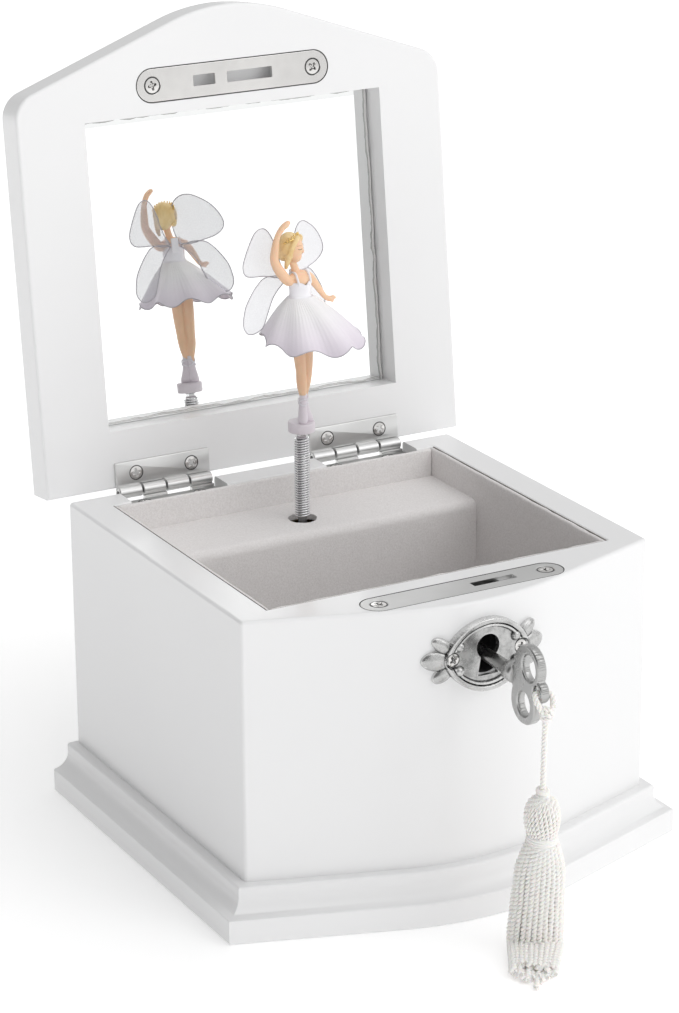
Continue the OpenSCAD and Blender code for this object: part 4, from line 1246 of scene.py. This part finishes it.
def tassel_head_piece():
    """A small knot, a rounded bulb of cords laid side by side, and a band wound about its neck."""
    s = Shape()
    at = moved(TASSEL_X, TASSEL_Y, 0)
    # the knot where the cord comes in
    for turn_, z in ((0.0, 50.9), (1.1, 49.7), (2.3, 48.8)):
        loop = [(1.45 * cos(a), 1.45 * sin(a), z + 0.45 * sin(a + turn_))
                for a in [2 * pi * i / 24 for i in range(25)]]
        s.add(tube(loop, 0.66, 8), at=at)
    s.add(ball(0, 0, 49.8, 1.6, 1.6, 1.9, 16, 10), at=at)
    # the bulb: each strand bulges out from the knot and is drawn in at the band
    strands = 24
    profile = [(1.0, 48.9), (2.9, 48.3), (4.2, 46.9), (4.9, 44.7), (5.05, 42.3), (4.85, 40.2), (4.4, 38.5),
               (4.0, 36.8)]
    # a core under the strands in the darker yarn, painted shade between them
    s.add(lathe([(max(0.2, r - 0.6), z) for r, z in profile], 32), 1, at=at)
    for k in range(strands):
        line = []
        for r, z in profile:
            a = 2 * pi * k / strands + 0.03 * (48.9 - z)
            line.append(Vector((r * cos(a) * 0.95, r * sin(a) * 0.95, z)))
        for ply in twisted(line, 0.36, 2, 2.2, 8, 7, phase=k * 0.9):
            s.add(ply, at=at)
    # the band: a cord wound round and round
    turns_, steps = 5, 44
    wind = []
    for i in range(turns_ * steps + 1):
        a = 2 * pi * i / steps
        z = BAND_TOP - BAND_DROP * i / (turns_ * steps)
        r = 4.2 + 0.08 * sin(a * 1.7)
        wind.append((r * cos(a), r * sin(a), z + 0.06 * sin(a * 2.3)))
    s.add(tube(wind, 0.52, 8), at=at)
    # a core under the band in the darker yarn, painted shade between its turns
    s.add(lathe([(3.9, 37.8), (4.1, 35.4), (3.9, 32.4)], 24), 1, at=at)
    return make("tassel_bulb", s, [yarn, yarn_in_painted_shade], "tassel", "tassel_head", 60)


bulb = tassel_head_piece()


def ring_knot():
    """The knot under the key's end ring that holds the cord's loop shut."""
    s = Shape()
    centre = Vector((0.2, -112.8, 74.9))
    for k, (tilt, lean, r) in enumerate(((10, 0, 1.35), (-25, 20, 1.45), (28, -15, 1.3), (-8, 35, 1.2))):
        at = moved(*(centre + Vector((0, 0, 0.75 * (k - 1.5))))) @ turned(tilt, "X") @ turned(lean, "Y")
        loop = [Vector((r * cos(a), r * sin(a), 0)) for a in [2 * pi * i / 20 for i in range(21)]]
        for ply in twisted(loop, 0.4, 2, 1.7, 3, 8, apart=1.0):
            s.add(ply, at=at)
    # a core in the darker yarn, painted shade inside the knot
    s.add(ball(*centre, 1.1, 1.1, 1.7, 16, 10), 1)
    return make("tassel_cord_knot", s, [yarn, yarn_in_painted_shade], "tassel", (), 60)


knot = ring_knot()


def fringe_strand(k):
    """The path of one hanging cord: straight down, and then out over the table, in the fringe's own frame."""
    random.seed(100 + k)
    outer = k < 24
    a = 2 * pi * (k + 0.5) / 24 if outer else 2 * pi * (k - 24) / 8 + 0.3
    a += 0.1 * sin(2 * a)
    r0, r1 = (4.3, 7.6) if outer else (2.6, 5.2)
    length = 48 + random.uniform(-1.2, 1.2) + (4 if k == 18 else 0)
    radius = 0.92 + random.uniform(-0.05, 0.04)
    x0, y0 = r0 * cos(a), r0 * sin(a)
    x1, y1 = r1 * cos(a), r1 * sin(a) * 0.62
    level = radius * 1.08 + 0.15 + (y1 + 4.6) / 9.2 * 3.4
    bend_r = 3.2 + random.uniform(-0.3, 0.4)
    z = SKIRT_TOP + 1.2
    points = [Vector((x0, y0, z))]
    down = z - level - bend_r
    for i in range(1, 8):
        t = i / 7
        ease = 0.6 * min(1, 3.5 * t) ** 0.8 + 0.4 * t
        points.append(Vector((x0 + (x1 - x0) * ease + random.uniform(-0.1, 0.1) - 1.5 * t,
                              y0 + (y1 - y0) * ease, z - down * t)))
    corner = points[-1]
    for i in range(1, 6):
        t = pi / 2 * i / 5
        points.append(Vector((corner.x, corner.y - bend_r * (1 - cos(t)), corner.z - bend_r * sin(t))))
    used = sum((q - p).length for p, q in zip(points, points[1:]))
    rest = max(2.0, length - used)
    last = points[-1]
    for i in range(1, 6):
        t = rest * i / 5
        points.append(Vector((last.x - x1 * 0.012 * t - 0.1 * t, last.y - t,
                              last.z - (level - radius - 0.2) * 0.5 * (i / 5) ** 1.5)))
    return points, radius


def fringe():
    s = Shape()
    at = moved(TASSEL_X, TASSEL_Y, 0) @ turned(AZIMUTH, "Z")
    for k in range(32):
        points, radius = fringe_strand(k)

        def frayed(t):
            return 1.0 if t < 0.97 else 1.0 + 0.3 * (t - 0.97) / 0.03
        for ply in twisted(points, radius * 0.53, 2, 2.3, 18, 6, k * 1.3, frayed, 0.95):
            s.add(ply, at=at)
        # a core in the darker yarn, painted shade between the plies
        s.add(tube(spline(points, 3), radius * 0.5, 6), 1, at=at)
    return make("tassel_fringe", s, [yarn, yarn_in_painted_shade], "tassel", "tassel_skirt", 60)


tassel_fringe = fringe()


# ---------------------------------------------------------------- doll

TURN = 12.0
DISC_Z, DOLL_Z, COIL_Z0, COIL_Z1, COIL_R = 118.1, 121.4, 89.2, 116.1, 2.55


def on_doll(u, w, z):
    """A point from the doll's left (u), its front (w) and its height."""
    c, s = cos(rad(TURN)), sin(rad(TURN))
    return Vector((u * c + w * s, SHAFT_Y + u * s - w * c, z))


def doll_frame(u=0.0, w=0.0, z=0.0):
    m = turned(TURN, "Z")
    m.translation = on_doll(u, w, z)
    return m @ Matrix.Scale(-1, 4, (0, 1, 0))


skin = plastic("doll_skin", "doll_plastic", (0.86, 0.56, 0.36), (0.9, 0.62, 0.42), (0.32, 0.45), 0.15)
hair_colour = plastic("doll_hair", "doll_plastic", (0.8, 0.56, 0.24), (0.93, 0.76, 0.46), (0.35, 0.5))
bodice_white = plastic("bodice_white", "doll_plastic", (0.84, 0.82, 0.87), (0.92, 0.91, 0.94), (0.35, 0.5))
lilac = plastic("lilac_plastic", "lilac_plastic", (0.74, 0.68, 0.73), (0.8, 0.74, 0.79), (0.3, 0.42))
gold = metal("tiara_gold", "doll_plastic", (0.75, 0.52, 0.18), (0.9, 0.7, 0.32), (0.15, 0.3))
edge_grey = plastic("wing_edge", "tulle", (0.42, 0.4, 0.44), (0.56, 0.54, 0.58), (0.35, 0.5))


def organza(name, slot, clear, tint):
    """Sheer cloth: a fine weave that lets the light and what is behind it through."""
    m = Nodes(name, slot)
    m.set(Specular_IOR_Level=0.3, Sheen_Weight=0.25)
    weave = m.noise(2600, 2)
    m.colour(m.ramp(m.noise(60, 3), "Fac", [(0.3, tint), (0.7, tuple(c * 1.06 for c in tint))]))
    m.rough(weave, "Fac", 0.35, 0.6)
    m.bump(weave, "Fac", 0.03, 0.5)
    m.join(m.scaled(weave, "Fac", clear - 0.08, clear + 0.08), "Result", m.bsdf, "Alpha")
    return m


def spring():
    """A close-wound helical spring; its coils nearly touch."""
    s = Shape()
    wire, turns_, per = 0.35, 32, 26
    pitch = (COIL_Z1 - COIL_Z0 - 2 * wire) / turns_
    r = COIL_R - wire
    line = [(r * cos(2 * pi * i / per), SHAFT_Y + r * sin(2 * pi * i / per), COIL_Z0 + wire + pitch * i / per)
            for i in range(turns_ * per + 1)]
    s.add(tube(line, wire, 8))
    piece = make("coiled_spring", s, spring_steel, None, "coiled_shaft", 60)
    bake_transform(piece)
    return piece


spring_steel = metal("spring_steel", "bright_nickel", (0.7, 0.7, 0.71), (0.82, 0.82, 0.83), (0.12, 0.22))
spring()

s = Shape()
s.add(lathe([(0.0, COIL_Z1 - 5.5), (1.45, COIL_Z1 - 5.5), (1.5, COIL_Z1 - 0.1), (1.95, COIL_Z1),
             (2.0, COIL_Z1 + 0.2),
             (1.6, COIL_Z1 + 0.7), (1.6, DISC_Z - 0.5), (1.95, DISC_Z - 0.2), (1.95, DISC_Z), (0, DISC_Z)],
             32, False),
      at=moved(0, SHAFT_Y, 0))
make("disc_ferrule", s, spring_steel, "doll", "doll_ferrule", 30)
s = Shape()
s.add(slab([(4.3 * cos(2 * pi * i / 64), SHAFT_Y + 4.3 * sin(2 * pi * i / 64)) for i in range(64)],
           DISC_Z, DOLL_Z, 0.35, 0.35, 4))
make("turning_disc", s, lilac, "doll", "doll_disc", 40)


def limb(points, radii, per=6, sides=16, flat=1.0):
    """A smooth limb through (u, w, z) points with a radius at each."""
    path = spline([on_doll(*p) for p in points], per)
    wide = spline([(r, 0, 0) for r in radii], per)
    return tube(path, [max(0.08, q[0]) for q in wide], sides, flat=flat)


def melt(piece, voxel, soften):
    """Runs overlapping parts of a piece into one smooth skin."""
    r = piece.modifiers.new("remesh", "REMESH")
    r.mode, r.voxel_size, r.use_smooth_shade = "VOXEL", voxel * MM, True
    w = piece.modifiers.new("soften", "SMOOTH")
    w.factor, w.iterations = 0.5, soften
    apply_modifiers(piece)
    smooth(piece, 180)
    return piece


HEAD = (-1.9, -1.5, 178.1)


def figure():
    s = Shape()
    hu, hw, hz = HEAD
    at = doll_frame()
    # head, jaw, nose, neck and chest
    face = turned(-30, "Z")
    head = moved(hu, hw, hz) @ face
    s.add(ball(0, 0.3, 0.2, 3.05, 3.4, 3.9, 28, 18), at=at @ head)
    s.add(ball(0, 1.3, -2.3, 1.9, 1.9, 2.1, 20, 12), at=at @ head)
    s.add(ball(0, 3.65, -0.55, 0.42, 0.5, 0.8, 12, 8), at=at @ head)
    s.add(limb([(-0.5, -0.6, 168), (-0.9, -0.8, 170.5), (hu + 0.3, hw + 0.1, 173.4), (hu, hw, 175)],
               [1.9, 1.3, 1.2, 1.4]))
    s.add(ball(0, 0, 0, 3.4, 2.5, 2.9, 24, 14), at=at @ moved(0, -0.1, 167.2))
    s.add(limb([(-3.4, -0.4, 168.9), (0, -0.3, 169.6), (3.4, -0.5, 168.9)], [1.15, 1.5, 1.15]))
    s.add(ball(0, 0, 0, 3.2, 2.45, 4.4, 24, 14), at=at @ moved(0, 0, 163.4))
    # right arm, raised and rounded over the head
    s.add(limb([(-3.2, -0.3, 168.2), (-4.6, -0.4, 168.3), (-7.0, -1.0, 171.3), (-8.9, -1.5, 175.0),
                (-8.9, -1.3, 178.6), (-8.3, -0.8, 182.8), (-7.0, 0.0, 185.6), (-5.4, 0.6, 187.0),
                (-4.5, 0.8, 187.4)],
               [1.4, 1.6, 1.65, 1.4, 1.3, 0.95, 0.95, 0.85, 0.5]))
    # left arm, held out and low, with a soft hand
    s.add(limb([(3.0, -0.5, 168.4), (4.3, -0.4, 168.0), (6.6, 0.3, 164.9), (8.7, 1.4, 161.4),
                (10.2, 2.0, 160.3), (11.6, 2.5, 160.5),
                (12.3, 2.7, 160.3)], [1.3, 1.4, 1.2, 0.85, 0.9, 0.75, 0.45]))
    s.add(limb([(9.6, 1.9, 160.6), (10.6, 2.5, 159.7), (11.4, 2.9, 159.4)], [0.5, 0.42, 0.3]))
    s.add(limb([(-7.1, 0.0, 185.2), (-6.2, 0.9, 186.0), (-5.4, 1.3, 186.5)], [0.5, 0.4, 0.3]))
    # legs, close together and crossed at the ankles
    s.add(limb([(-0.9, 0.2, 152), (-0.8, 0.3, 144), (-0.6, 0.7, 138.4), (-0.3, 0.6, 134), (0.1, 0.7, 129.5),
                (0.0, 0.8, 127.5)],
               [2.1, 1.95, 1.65, 1.6, 1.0, 1.0]))
    s.add(limb([(2.7, 0.0, 152), (2.6, 0.1, 144), (2.5, 0.2, 138.4), (2.2, -0.2, 134), (1.7, -0.4, 129.5),
                (1.6, -0.4, 127.5)],
               [2.1, 1.95, 1.65, 1.6, 1.0, 1.0]))
    s.add(limb([(0, 0, 163), (0, 0, 158), (0, 0, 154), (0, 0, 150)], [2.6, 3.1, 3.4, 2.6]))
    return melt(make("doll_body", s, skin, "doll", "doll_figure", 180), 0.2, 6)


figure()


def hair():
    """Hair combed back over a smooth skull, with a lock down the left of the neck."""
    s = Shape()
    hu, hw, hz = HEAD
    at = doll_frame() @ moved(hu, hw, hz) @ turned(-30, "Z")
    s.add(ball(0, -0.75, 0.75, 3.75, 3.75, 4.35, 36, 24), at=at)
    s.add(ball(0, -2.6, -0.9, 2.9, 2.4, 3.4, 28, 18), at=at)
    for side in (-1, 1):
        s.add(tube(spline([(side * 0.6, 2.4, 3.9), (side * 2.2, 2.0, 2.9), (side * 3.2, 1.2, 0.9),
                           (side * 3.25, 0.4, -1.4),
                           (side * 2.9, -0.6, -3.4)], 6), [0.85] * 24 + [0.6], 10), at=at)
    s.add(tube(spline([(-2.9, 0.2, -1.5), (-2.8, -0.6, -4.2), (-2.2, -1.3, -6.2)], 6),
               [1.2 - 0.06 * i for i in range(13)], 10),
          at=at)
    piece = melt(make("doll_hair", s, hair_colour, "doll", (), 180), 0.2, 5)
    # combed grooves, running back from the brow
    inv = at.inverted()
    for v in piece.data.vertices:
        p = inv @ (v.co / MM)
        a = math.atan2(p.x, p.z + 6)
        v.co += Vector(v.normal) * (0.07 * sin(a * 46 + 0.6 * sin(p.y * 1.7)) * MM)
    return piece


hair()


def tiara():
    s = Shape()
    hu, hw, hz = HEAD
    at = doll_frame() @ moved(hu, hw, hz) @ turned(-30, "Z") @ turned(24, "X")
    r0, z0 = 3.7, 2.6
    line = [(r0 * sin(rad(a)), 0.2 + r0 * 0.93 * cos(rad(a)), z0) for a in range(-95, 96, 5)]
    s.add(tube(line, 0.27, 8), at=at)
    for k in range(-5, 6):
        a = rad(k * 15)
        h = 1.35 - 0.09 * abs(k) ** 1.2
        x, y = r0 * sin(a), 0.2 + r0 * 0.93 * cos(a)
        s.add(tube([(x, y, z0), (x * 1.01, y * 1.01, z0 + h * 0.6), (x * 1.02, y * 1.02, z0 + h)],
                   [0.2, 0.24, 0.1], 8), at=at)
        s.add(ball(x * 1.02, y * 1.02, z0 + h, 0.24, sides=10, stacks=6), at=at)
    return make("doll_tiara", s, gold, "doll", (), 60)


tiara()


def bodice():
    s = Shape()
    at = doll_frame()
    levels = [(161.4, 4.3, 3.2), (162.8, 3.8, 2.9), (164.2, 3.55, 2.85), (165.6, 3.65, 3.1),
              (166.8, 3.7, 3.05), (167.6, 3.6, 2.65)]
    loops = []
    sides = 56
    for k, (z, a, b) in enumerate(levels):
        loop = []
        for i in range(sides):
            t = 2 * pi * i / sides
            front = max(0.0, sin(t))
            bust = 0.45 * front * (1 - abs(k - 3.4) / 3.4) * (1 + 0.45 * cos(4 * t))
            dip = (0.9 * max(0.0, 1 - abs(cos(t)) * 2.3) * front if k == len(levels) - 1 else 0)
            loop.append(((a + 0.08) * cos(t), (b + bust) * sin(t), z - dip))
        loops.append(loop)
    s.add(rings(loops, False), at=at)
    inner = [[(x * 0.92, y * 0.92, z) for x, y, z in loop] for loop in loops]
    s.add(rings(inner[::-1], False), at=at)
    s.add(rings([loops[-1], inner[-1]], False), at=at)
    belt = [(3.85 * cos(2 * pi * i / 48), 2.95 * sin(2 * pi * i / 48), 162.7) for i in range(49)]
    s.add(tube(belt, 0.32, 8), at=at)
    for side in (-1, 1):
        strap = [(side * 2.35, 2.5, 166.9), (side * 2.5, 1.95, 168.6), (side * 2.45, 0.9, 170.3),
                 (side * 2.4, -0.6, 170.55),
                 (side * 2.2, -1.9, 169.2), (side * 1.9, -2.3, 167.2)]
        s.add(tube(spline(strap, 6), 0.36, 8, flat=0.6), at=at)
    return make("doll_bodice", s, bodice_white, "doll", (), 60)


bodice()


def shoes():
    s = Shape()
    at = doll_frame()
    for side, w0, turn_ in ((-1, 0.75, 34), (1, -0.35, -38)):
        foot = at @ moved(0.7 + side * 0.8, w0, 0) @ turned(turn_, "Z")
        loops = []
        for z, back, front, half in ((121.45, -1.3, 2.7, 1.35), (121.9, -1.5, 2.95, 1.6),
                                     (122.9, -1.5, 2.7, 1.6), (124.2, -1.4, 2.1, 1.5),
                                     (125.8, -1.3, 1.55, 1.35), (127.5, -1.2, 1.25, 1.2),
                                     (129.4, -1.1, 1.1, 1.1), (130.4, -1.08, 1.08, 1.08)):
            mid, reach = (front + back) / 2, (front - back) / 2
            lean = -side * 0.12 * (z - 122) / 8
            loops.append([(lean + half * cos(2 * pi * i / 28), mid + reach * sin(2 * pi * i / 28), z)
                          for i in range(28)])
        s.add(rings(loops), at=foot)
        for rise in (1, -1):
            ribbon = [(1.32 * cos(a) , 0.05 + 1.36 * sin(a), 127.6 + rise * 1.1 * sin(a + 0.4) + 0.5) for a in
                      [2 * pi * i / 32 for i in range(33)]]
            s.add(tube(ribbon, 0.2, 6), 1, at=foot)
    return make("doll_shoes", s, [lilac, bodice_white], "doll", (), 60)


shoes()


def face():
    """Plain painted features: two closed lids, two brows and a mouth."""
    s = Shape()
    hu, hw, hz = HEAD
    at = doll_frame() @ moved(hu, hw, hz) @ turned(-30, "Z")

    def on_face(x, z):
        t = max(0.0, 1 - (x / 3.05) ** 2 - ((z - 0.2) / 3.9) ** 2)
        return (x, 0.3 + 3.4 * math.sqrt(t) + 0.02, z)
    for side in (-1, 1):
        s.add(tube([on_face(side * x, 0.35 - 0.25 * sin(pi * (x - 0.7) / 1.3))
                    for x in (0.7, 1.0, 1.35, 1.7, 2.0)], 0.09, 6), at=at)
        s.add(tube([on_face(side * x, 1.25 + 0.2 * sin(pi * (x - 0.6) / 1.6))
                    for x in (0.6, 1.0, 1.4, 1.8, 2.2)], 0.06, 6), 1, at=at)
    s.add(tube([(x, 2.95 - 0.12 * x * x, -2.0 + 0.1 * x * x) for x in (-0.6, -0.3, 0, 0.3, 0.6)], 0.13, 6),
          2, at=at)
    return make("doll_face_paint", s, [paint_brown, paint_tan, paint_rose], "doll", (), 60)


paint_brown = plastic("paint_brown", "doll_plastic", (0.2, 0.11, 0.07), (0.26, 0.15, 0.1))
paint_tan = plastic("paint_tan", "doll_plastic", (0.5, 0.32, 0.16), (0.56, 0.36, 0.2))
paint_rose = plastic("paint_rose", "doll_plastic", (0.72, 0.26, 0.22), (0.78, 0.32, 0.28))
face()


# ---------------------------------------------------------------- skirt and wings

WAIST_Z, HEM_Z, WAIST_R, HEM_R, HEM_X, HEM_Y = 162.7, 148.7, 4.1, 16.0, 3.4, -2.0
LINING_HEM_R, LINING_LENGTH = 13.6, 0.93


def skirt_point(a, t, inner=0.0):
    """A point of the skirt at angle a, t of the way from the waist to the hem."""
    wave = sin(8 * a + 0.9 + 0.5 * sin(a * 2 + 1)) + 0.35 * sin(5 * a + 2)
    edge = HEM_R + 0.9 * wave - inner * 1.6
    r = WAIST_R - inner * 0.5 + (edge - WAIST_R) * t ** 0.93
    gather = 0.06 * (1 - 0.75 * t) * sin(58 * a) * min(1, 6 * t + 0.35)
    r += gather * (1 - inner * 0.5)
    drop = (WAIST_Z - HEM_Z) * (0.86 * t + 0.14 * t * t) - 0.4 * inner
    ruffle = 1.15 * t ** 3 * cos(8 * a + 0.9 + 0.5 * sin(a * 2 + 1))
    z = WAIST_Z - drop - ruffle + 0.8 * t * t * sin(a - 0.4) - inner * 0.5
    return Vector((HEM_X * t + r * cos(a), SHAFT_Y + HEM_Y * t + r * sin(a) * (0.8 + 0.2 * min(1, 3 * t)), z))


def skirt_layer(name, material, inner, length, nodes=()):
    around, down = 512, 26
    s = Shape()
    s.add(rings([[skirt_point(2 * pi * i / around, length * k / down, inner) for i in range(around)]
                 for k in range(down + 1)], False))
    return make(name, s, material, "doll", nodes, 180, tidy=False)


def hem_cord():
    s = Shape()
    s.add(tube([skirt_point(2 * pi * i / 256, 1.0) for i in range(257)], 0.17, 6))
    return make("skirt_hem_thread", s, edge_grey, "doll", (), 60)


dress = tulle()
skirt_outer = skirt_layer("skirt_outer", dress, 0.0, 1.0, "doll_skirt_and_wings")
skirt_inner = skirt_layer("skirt_lining", dress, 1.0, LINING_LENGTH)
hem = hem_cord()


WING_SWEEP, WING_NARROWED = 18, 0.92


def wing(name, outline, side, sweep, cup):
    """One organza wing, cut to an outline of (outward, height) and curved a little."""
    path = spline(outline + outline[:1], 6)
    c = (sum(p[0] for p in path) / len(path), sum(p[1] for p in path) / len(path))

    def place(x, z):
        bow = cup * ((x - 8) / 9) ** 2
        u = side * (0.6 + x * (WING_NARROWED if side < 0 else 1) * cos(rad(sweep)))
        return on_doll(u, -2.7 - x * sin(rad(sweep)) - 1.2 + bow, z)
    rows = 9
    s = Shape()
    loops = []
    for k in range(rows, 0, -1):
        loops.append([place(c[0] + (q[0] - c[0]) * k / rows, c[1] + (q[1] - c[1]) * k / rows)
                      for q in path[:-1]])
    verts, faces = rings(loops, False)
    n, m = len(loops[0]), len(verts)
    verts.append(tuple(place(*c)))
    faces += [[m - n + i, m - n + (i + 1) % n, m] for i in range(n)]
    s.add((verts, faces))
    sheet = make(name, s, wing_cloth, "doll", (), 180, tidy=False)
    s = Shape()
    s.add(tube([place(q[0], q[1]) for q in path], 0.17, 6))
    return sheet, make(name + "_edge", s, edge_grey, "doll", (), 60)


wing_cloth = organza("organza", "tulle", 0.5, (0.6, 0.59, 0.64))
UPPER_RIGHT_SIDE = [(1.0, 168.6), (3.6, 172.5), (5.4, 178.5), (7.4, 182.8), (9.6, 184.6), (12.2, 183.9),
                    (14.2, 181.4), (16.3, 177.4), (17.7, 173.9), (17.6, 171.6), (16.6, 170.2),
                    (15.0, 169.6), (12.8, 169.4), (9.0, 169.2), (4.5, 168.3)]
UPPER_LEFT_SIDE = [(1.0, 168.6), (-0.4, 173.5), (-0.6, 179.0), (0.4, 182.5), (2.6, 184.5), (5.2, 184.9),
                   (8.0, 184.0), (12.3, 181.2), (15.3, 177.7), (16.7, 174.4), (16.0, 172.1), (13.4, 170.3),
                   (9.5, 169.3), (5.0, 168.4)]
LOWER_SIDE = [(1.0, 168.0), (5.4, 169.0), (9.4, 168.6), (12.0, 166.6), (14.4, 163.7), (16.6, 160.2),
              (17.6, 156.7), (17.8, 154.1), (17.0, 152.2), (15.6, 151.1), (13.2, 151.0), (10.2, 152.6),
              (8.4, 156.8), (6.2, 162.2), (3.2, 166.0)]
wings = [wing("wing_upper_right", UPPER_RIGHT_SIDE, -1, WING_SWEEP, 1.0),
         wing("wing_upper_left", UPPER_LEFT_SIDE, 1, WING_SWEEP, 1.0),
         wing("wing_lower_right", LOWER_SIDE, -1, WING_SWEEP, 0.8),
         wing("wing_lower_left", LOWER_SIDE, 1, WING_SWEEP, 0.8)]
s = Shape()
s.add(block(-1.2, 1.2, -0.5, 0.5, -2.6, 2.6, 0.4), at=doll_frame(0, -3.4, 168.2))
make("wing_clip", s, bodice_white, "doll", (), 40)
DRAWN_OUT = math.hypot(WING_NARROWED * cos(rad(WING_SWEEP)), sin(rad(WING_SWEEP)))


# ---------------------------------------------------------------- pieces that keep their CAD meshes

brass = metal("brass", "brass", (0.66, 0.5, 0.23), (0.78, 0.62, 0.33), (0.22, 0.36))
steel = metal("lock_steel", "lock_steel", (0.4, 0.4, 0.41), (0.52, 0.52, 0.53), (0.3, 0.45))
lock_dark = metal("lock_dark", "lock_steel", (0.06, 0.06, 0.06), (0.1, 0.1, 0.1), (0.4, 0.55))
comb_metal = metal("comb_steel", "comb_steel", (0.5, 0.51, 0.53), (0.63, 0.64, 0.66), (0.18, 0.3),
                   (40, 900, 900), 0.02)
fan = plastic("fan_plastic", "fan_plastic", (0.75, 0.75, 0.72), (0.82, 0.82, 0.8))
shown_as_cad = {
    lock_dark: ["lock_tumbler", "lock_hook", "lock_case"],
    brass: ["bedplate", "lower_bearing", "governor_frame", "comb_base", "music_cylinder", "cylinder_gear",
            "spring_barrel", "second_wheel"],
    steel: ["cylinder_arbor", "crown_pinion", "mainspring", "winding_arbor", "ratchet_wheel", "click_pawl",
            "bedplate_screws", "comb_screws"],
    comb_metal: ["music_comb"],
    bright: ["winding_key"],
    fan: ["governor_fan"],
}
for material, names in shown_as_cad.items():
    for node in names:
        repaint(node, material)


# ---------------------------------------------------------------- floor and light


def floor():
    """A plain white floor that brightens away from the box, like a lit studio sweep."""
    mesh = bpy.data.meshes.new("floor")
    s = 9.0
    mesh.from_pydata([(-s, -s, 0), (s, -s, 0), (s, s, 0), (-s, s, 0)], [], [[0, 1, 2, 3]])
    m = Nodes("floor", "white_lacquer")
    m.set(Base_Color=(0.93, 0.93, 0.93), Roughness=0.9, Specular_IOR_Level=0.1,
          Emission_Color=(1.0, 1.0, 1.0))
    length = m.tree.nodes.new("ShaderNodeVectorMath")
    length.operation = "LENGTH"
    m.join(m.coord, "Object", length, 0)
    glow = m.tree.nodes.new("ShaderNodeMapRange")
    glow.inputs["From Min"].default_value, glow.inputs["From Max"].default_value = 0.05, 0.5
    glow.inputs["To Min"].default_value, glow.inputs["To Max"].default_value = 0.22, 0.55
    m.join(length, "Value", glow, "Value")
    m.join(glow, "Result", m.bsdf, "Emission Strength")
    mesh.materials.append(m.mat)
    piece = bpy.data.objects.new("floor", mesh)
    bpy.context.scene.collection.objects.link(piece)


floor()


def area_light(name, at, look, size, watts, size_y=None):
    data = bpy.data.lights.new(name, "AREA")
    data.shape = "RECTANGLE"
    data.size, data.size_y, data.energy = size, size_y or size, watts
    light = bpy.data.objects.new(name, data)
    bpy.context.scene.collection.objects.link(light)
    light.location = at
    light.rotation_euler = (Vector(look) - Vector(at)).to_track_quat("-Z", "Y").to_euler()
    return light


def studio():
    """A pale room, brighter on the front right, with a darker band on the left for the metal to pick up."""
    world = bpy.data.worlds.new("studio")
    bpy.context.scene.world = world
    world.use_nodes = True
    tree = world.node_tree
    background = tree.nodes["Background"]
    place = tree.nodes.new("ShaderNodeTexCoord")

    def facing(direction, stops):
        dot = tree.nodes.new("ShaderNodeVectorMath")
        dot.operation = "DOT_PRODUCT"
        dot.inputs[1].default_value = Vector(direction).normalized()
        tree.links.new(place.outputs["Generated"], dot.inputs[0])
        half = tree.nodes.new("ShaderNodeMapRange")
        half.inputs["From Min"].default_value = -1
        tree.links.new(dot.outputs["Value"], half.inputs["Value"])
        ramp = tree.nodes.new("ShaderNodeValToRGB")
        while len(ramp.color_ramp.elements) < len(stops):
            ramp.color_ramp.elements.new(0.5)
        for e, (at, v) in zip(ramp.color_ramp.elements, stops):
            e.position, e.color = at, (v, v, v, 1)
        tree.links.new(half.outputs["Result"], ramp.inputs["Fac"])
        return ramp

    open_side = facing((0.55, -0.8, 0.12), [(0.0, WORLD_BACK), (0.5, WORLD_SIDE), (0.8, WORLD_FRONT),
                                            (1.0, WORLD_FRONT)])
    band = facing((-0.85, -0.2, 0.55), [(0.0, 1.0), (0.88, 1.0), (0.94, 0.25), (1.0, 0.2)])
    both = tree.nodes.new("ShaderNodeMixRGB")
    both.blend_type = "MULTIPLY"
    both.inputs["Fac"].default_value = 1
    tree.links.new(open_side.outputs["Color"], both.inputs["Color1"])
    tree.links.new(band.outputs["Color"], both.inputs["Color2"])
    tree.links.new(both.outputs["Color"], background.inputs["Color"])
    background.inputs["Strength"].default_value = 1.0


WORLD_BACK, WORLD_SIDE, WORLD_FRONT = 0.48, 0.7, 0.98
studio()
bpy.context.scene.view_settings.view_transform = "Standard"
area_light("key_light", (1.0, -1.3, 1.3), (0, 0, 0.06), 0.9, 3)
area_light("top_light", (0.1, -0.3, 1.7), (0, 0, 0.1), 1.2, 4)
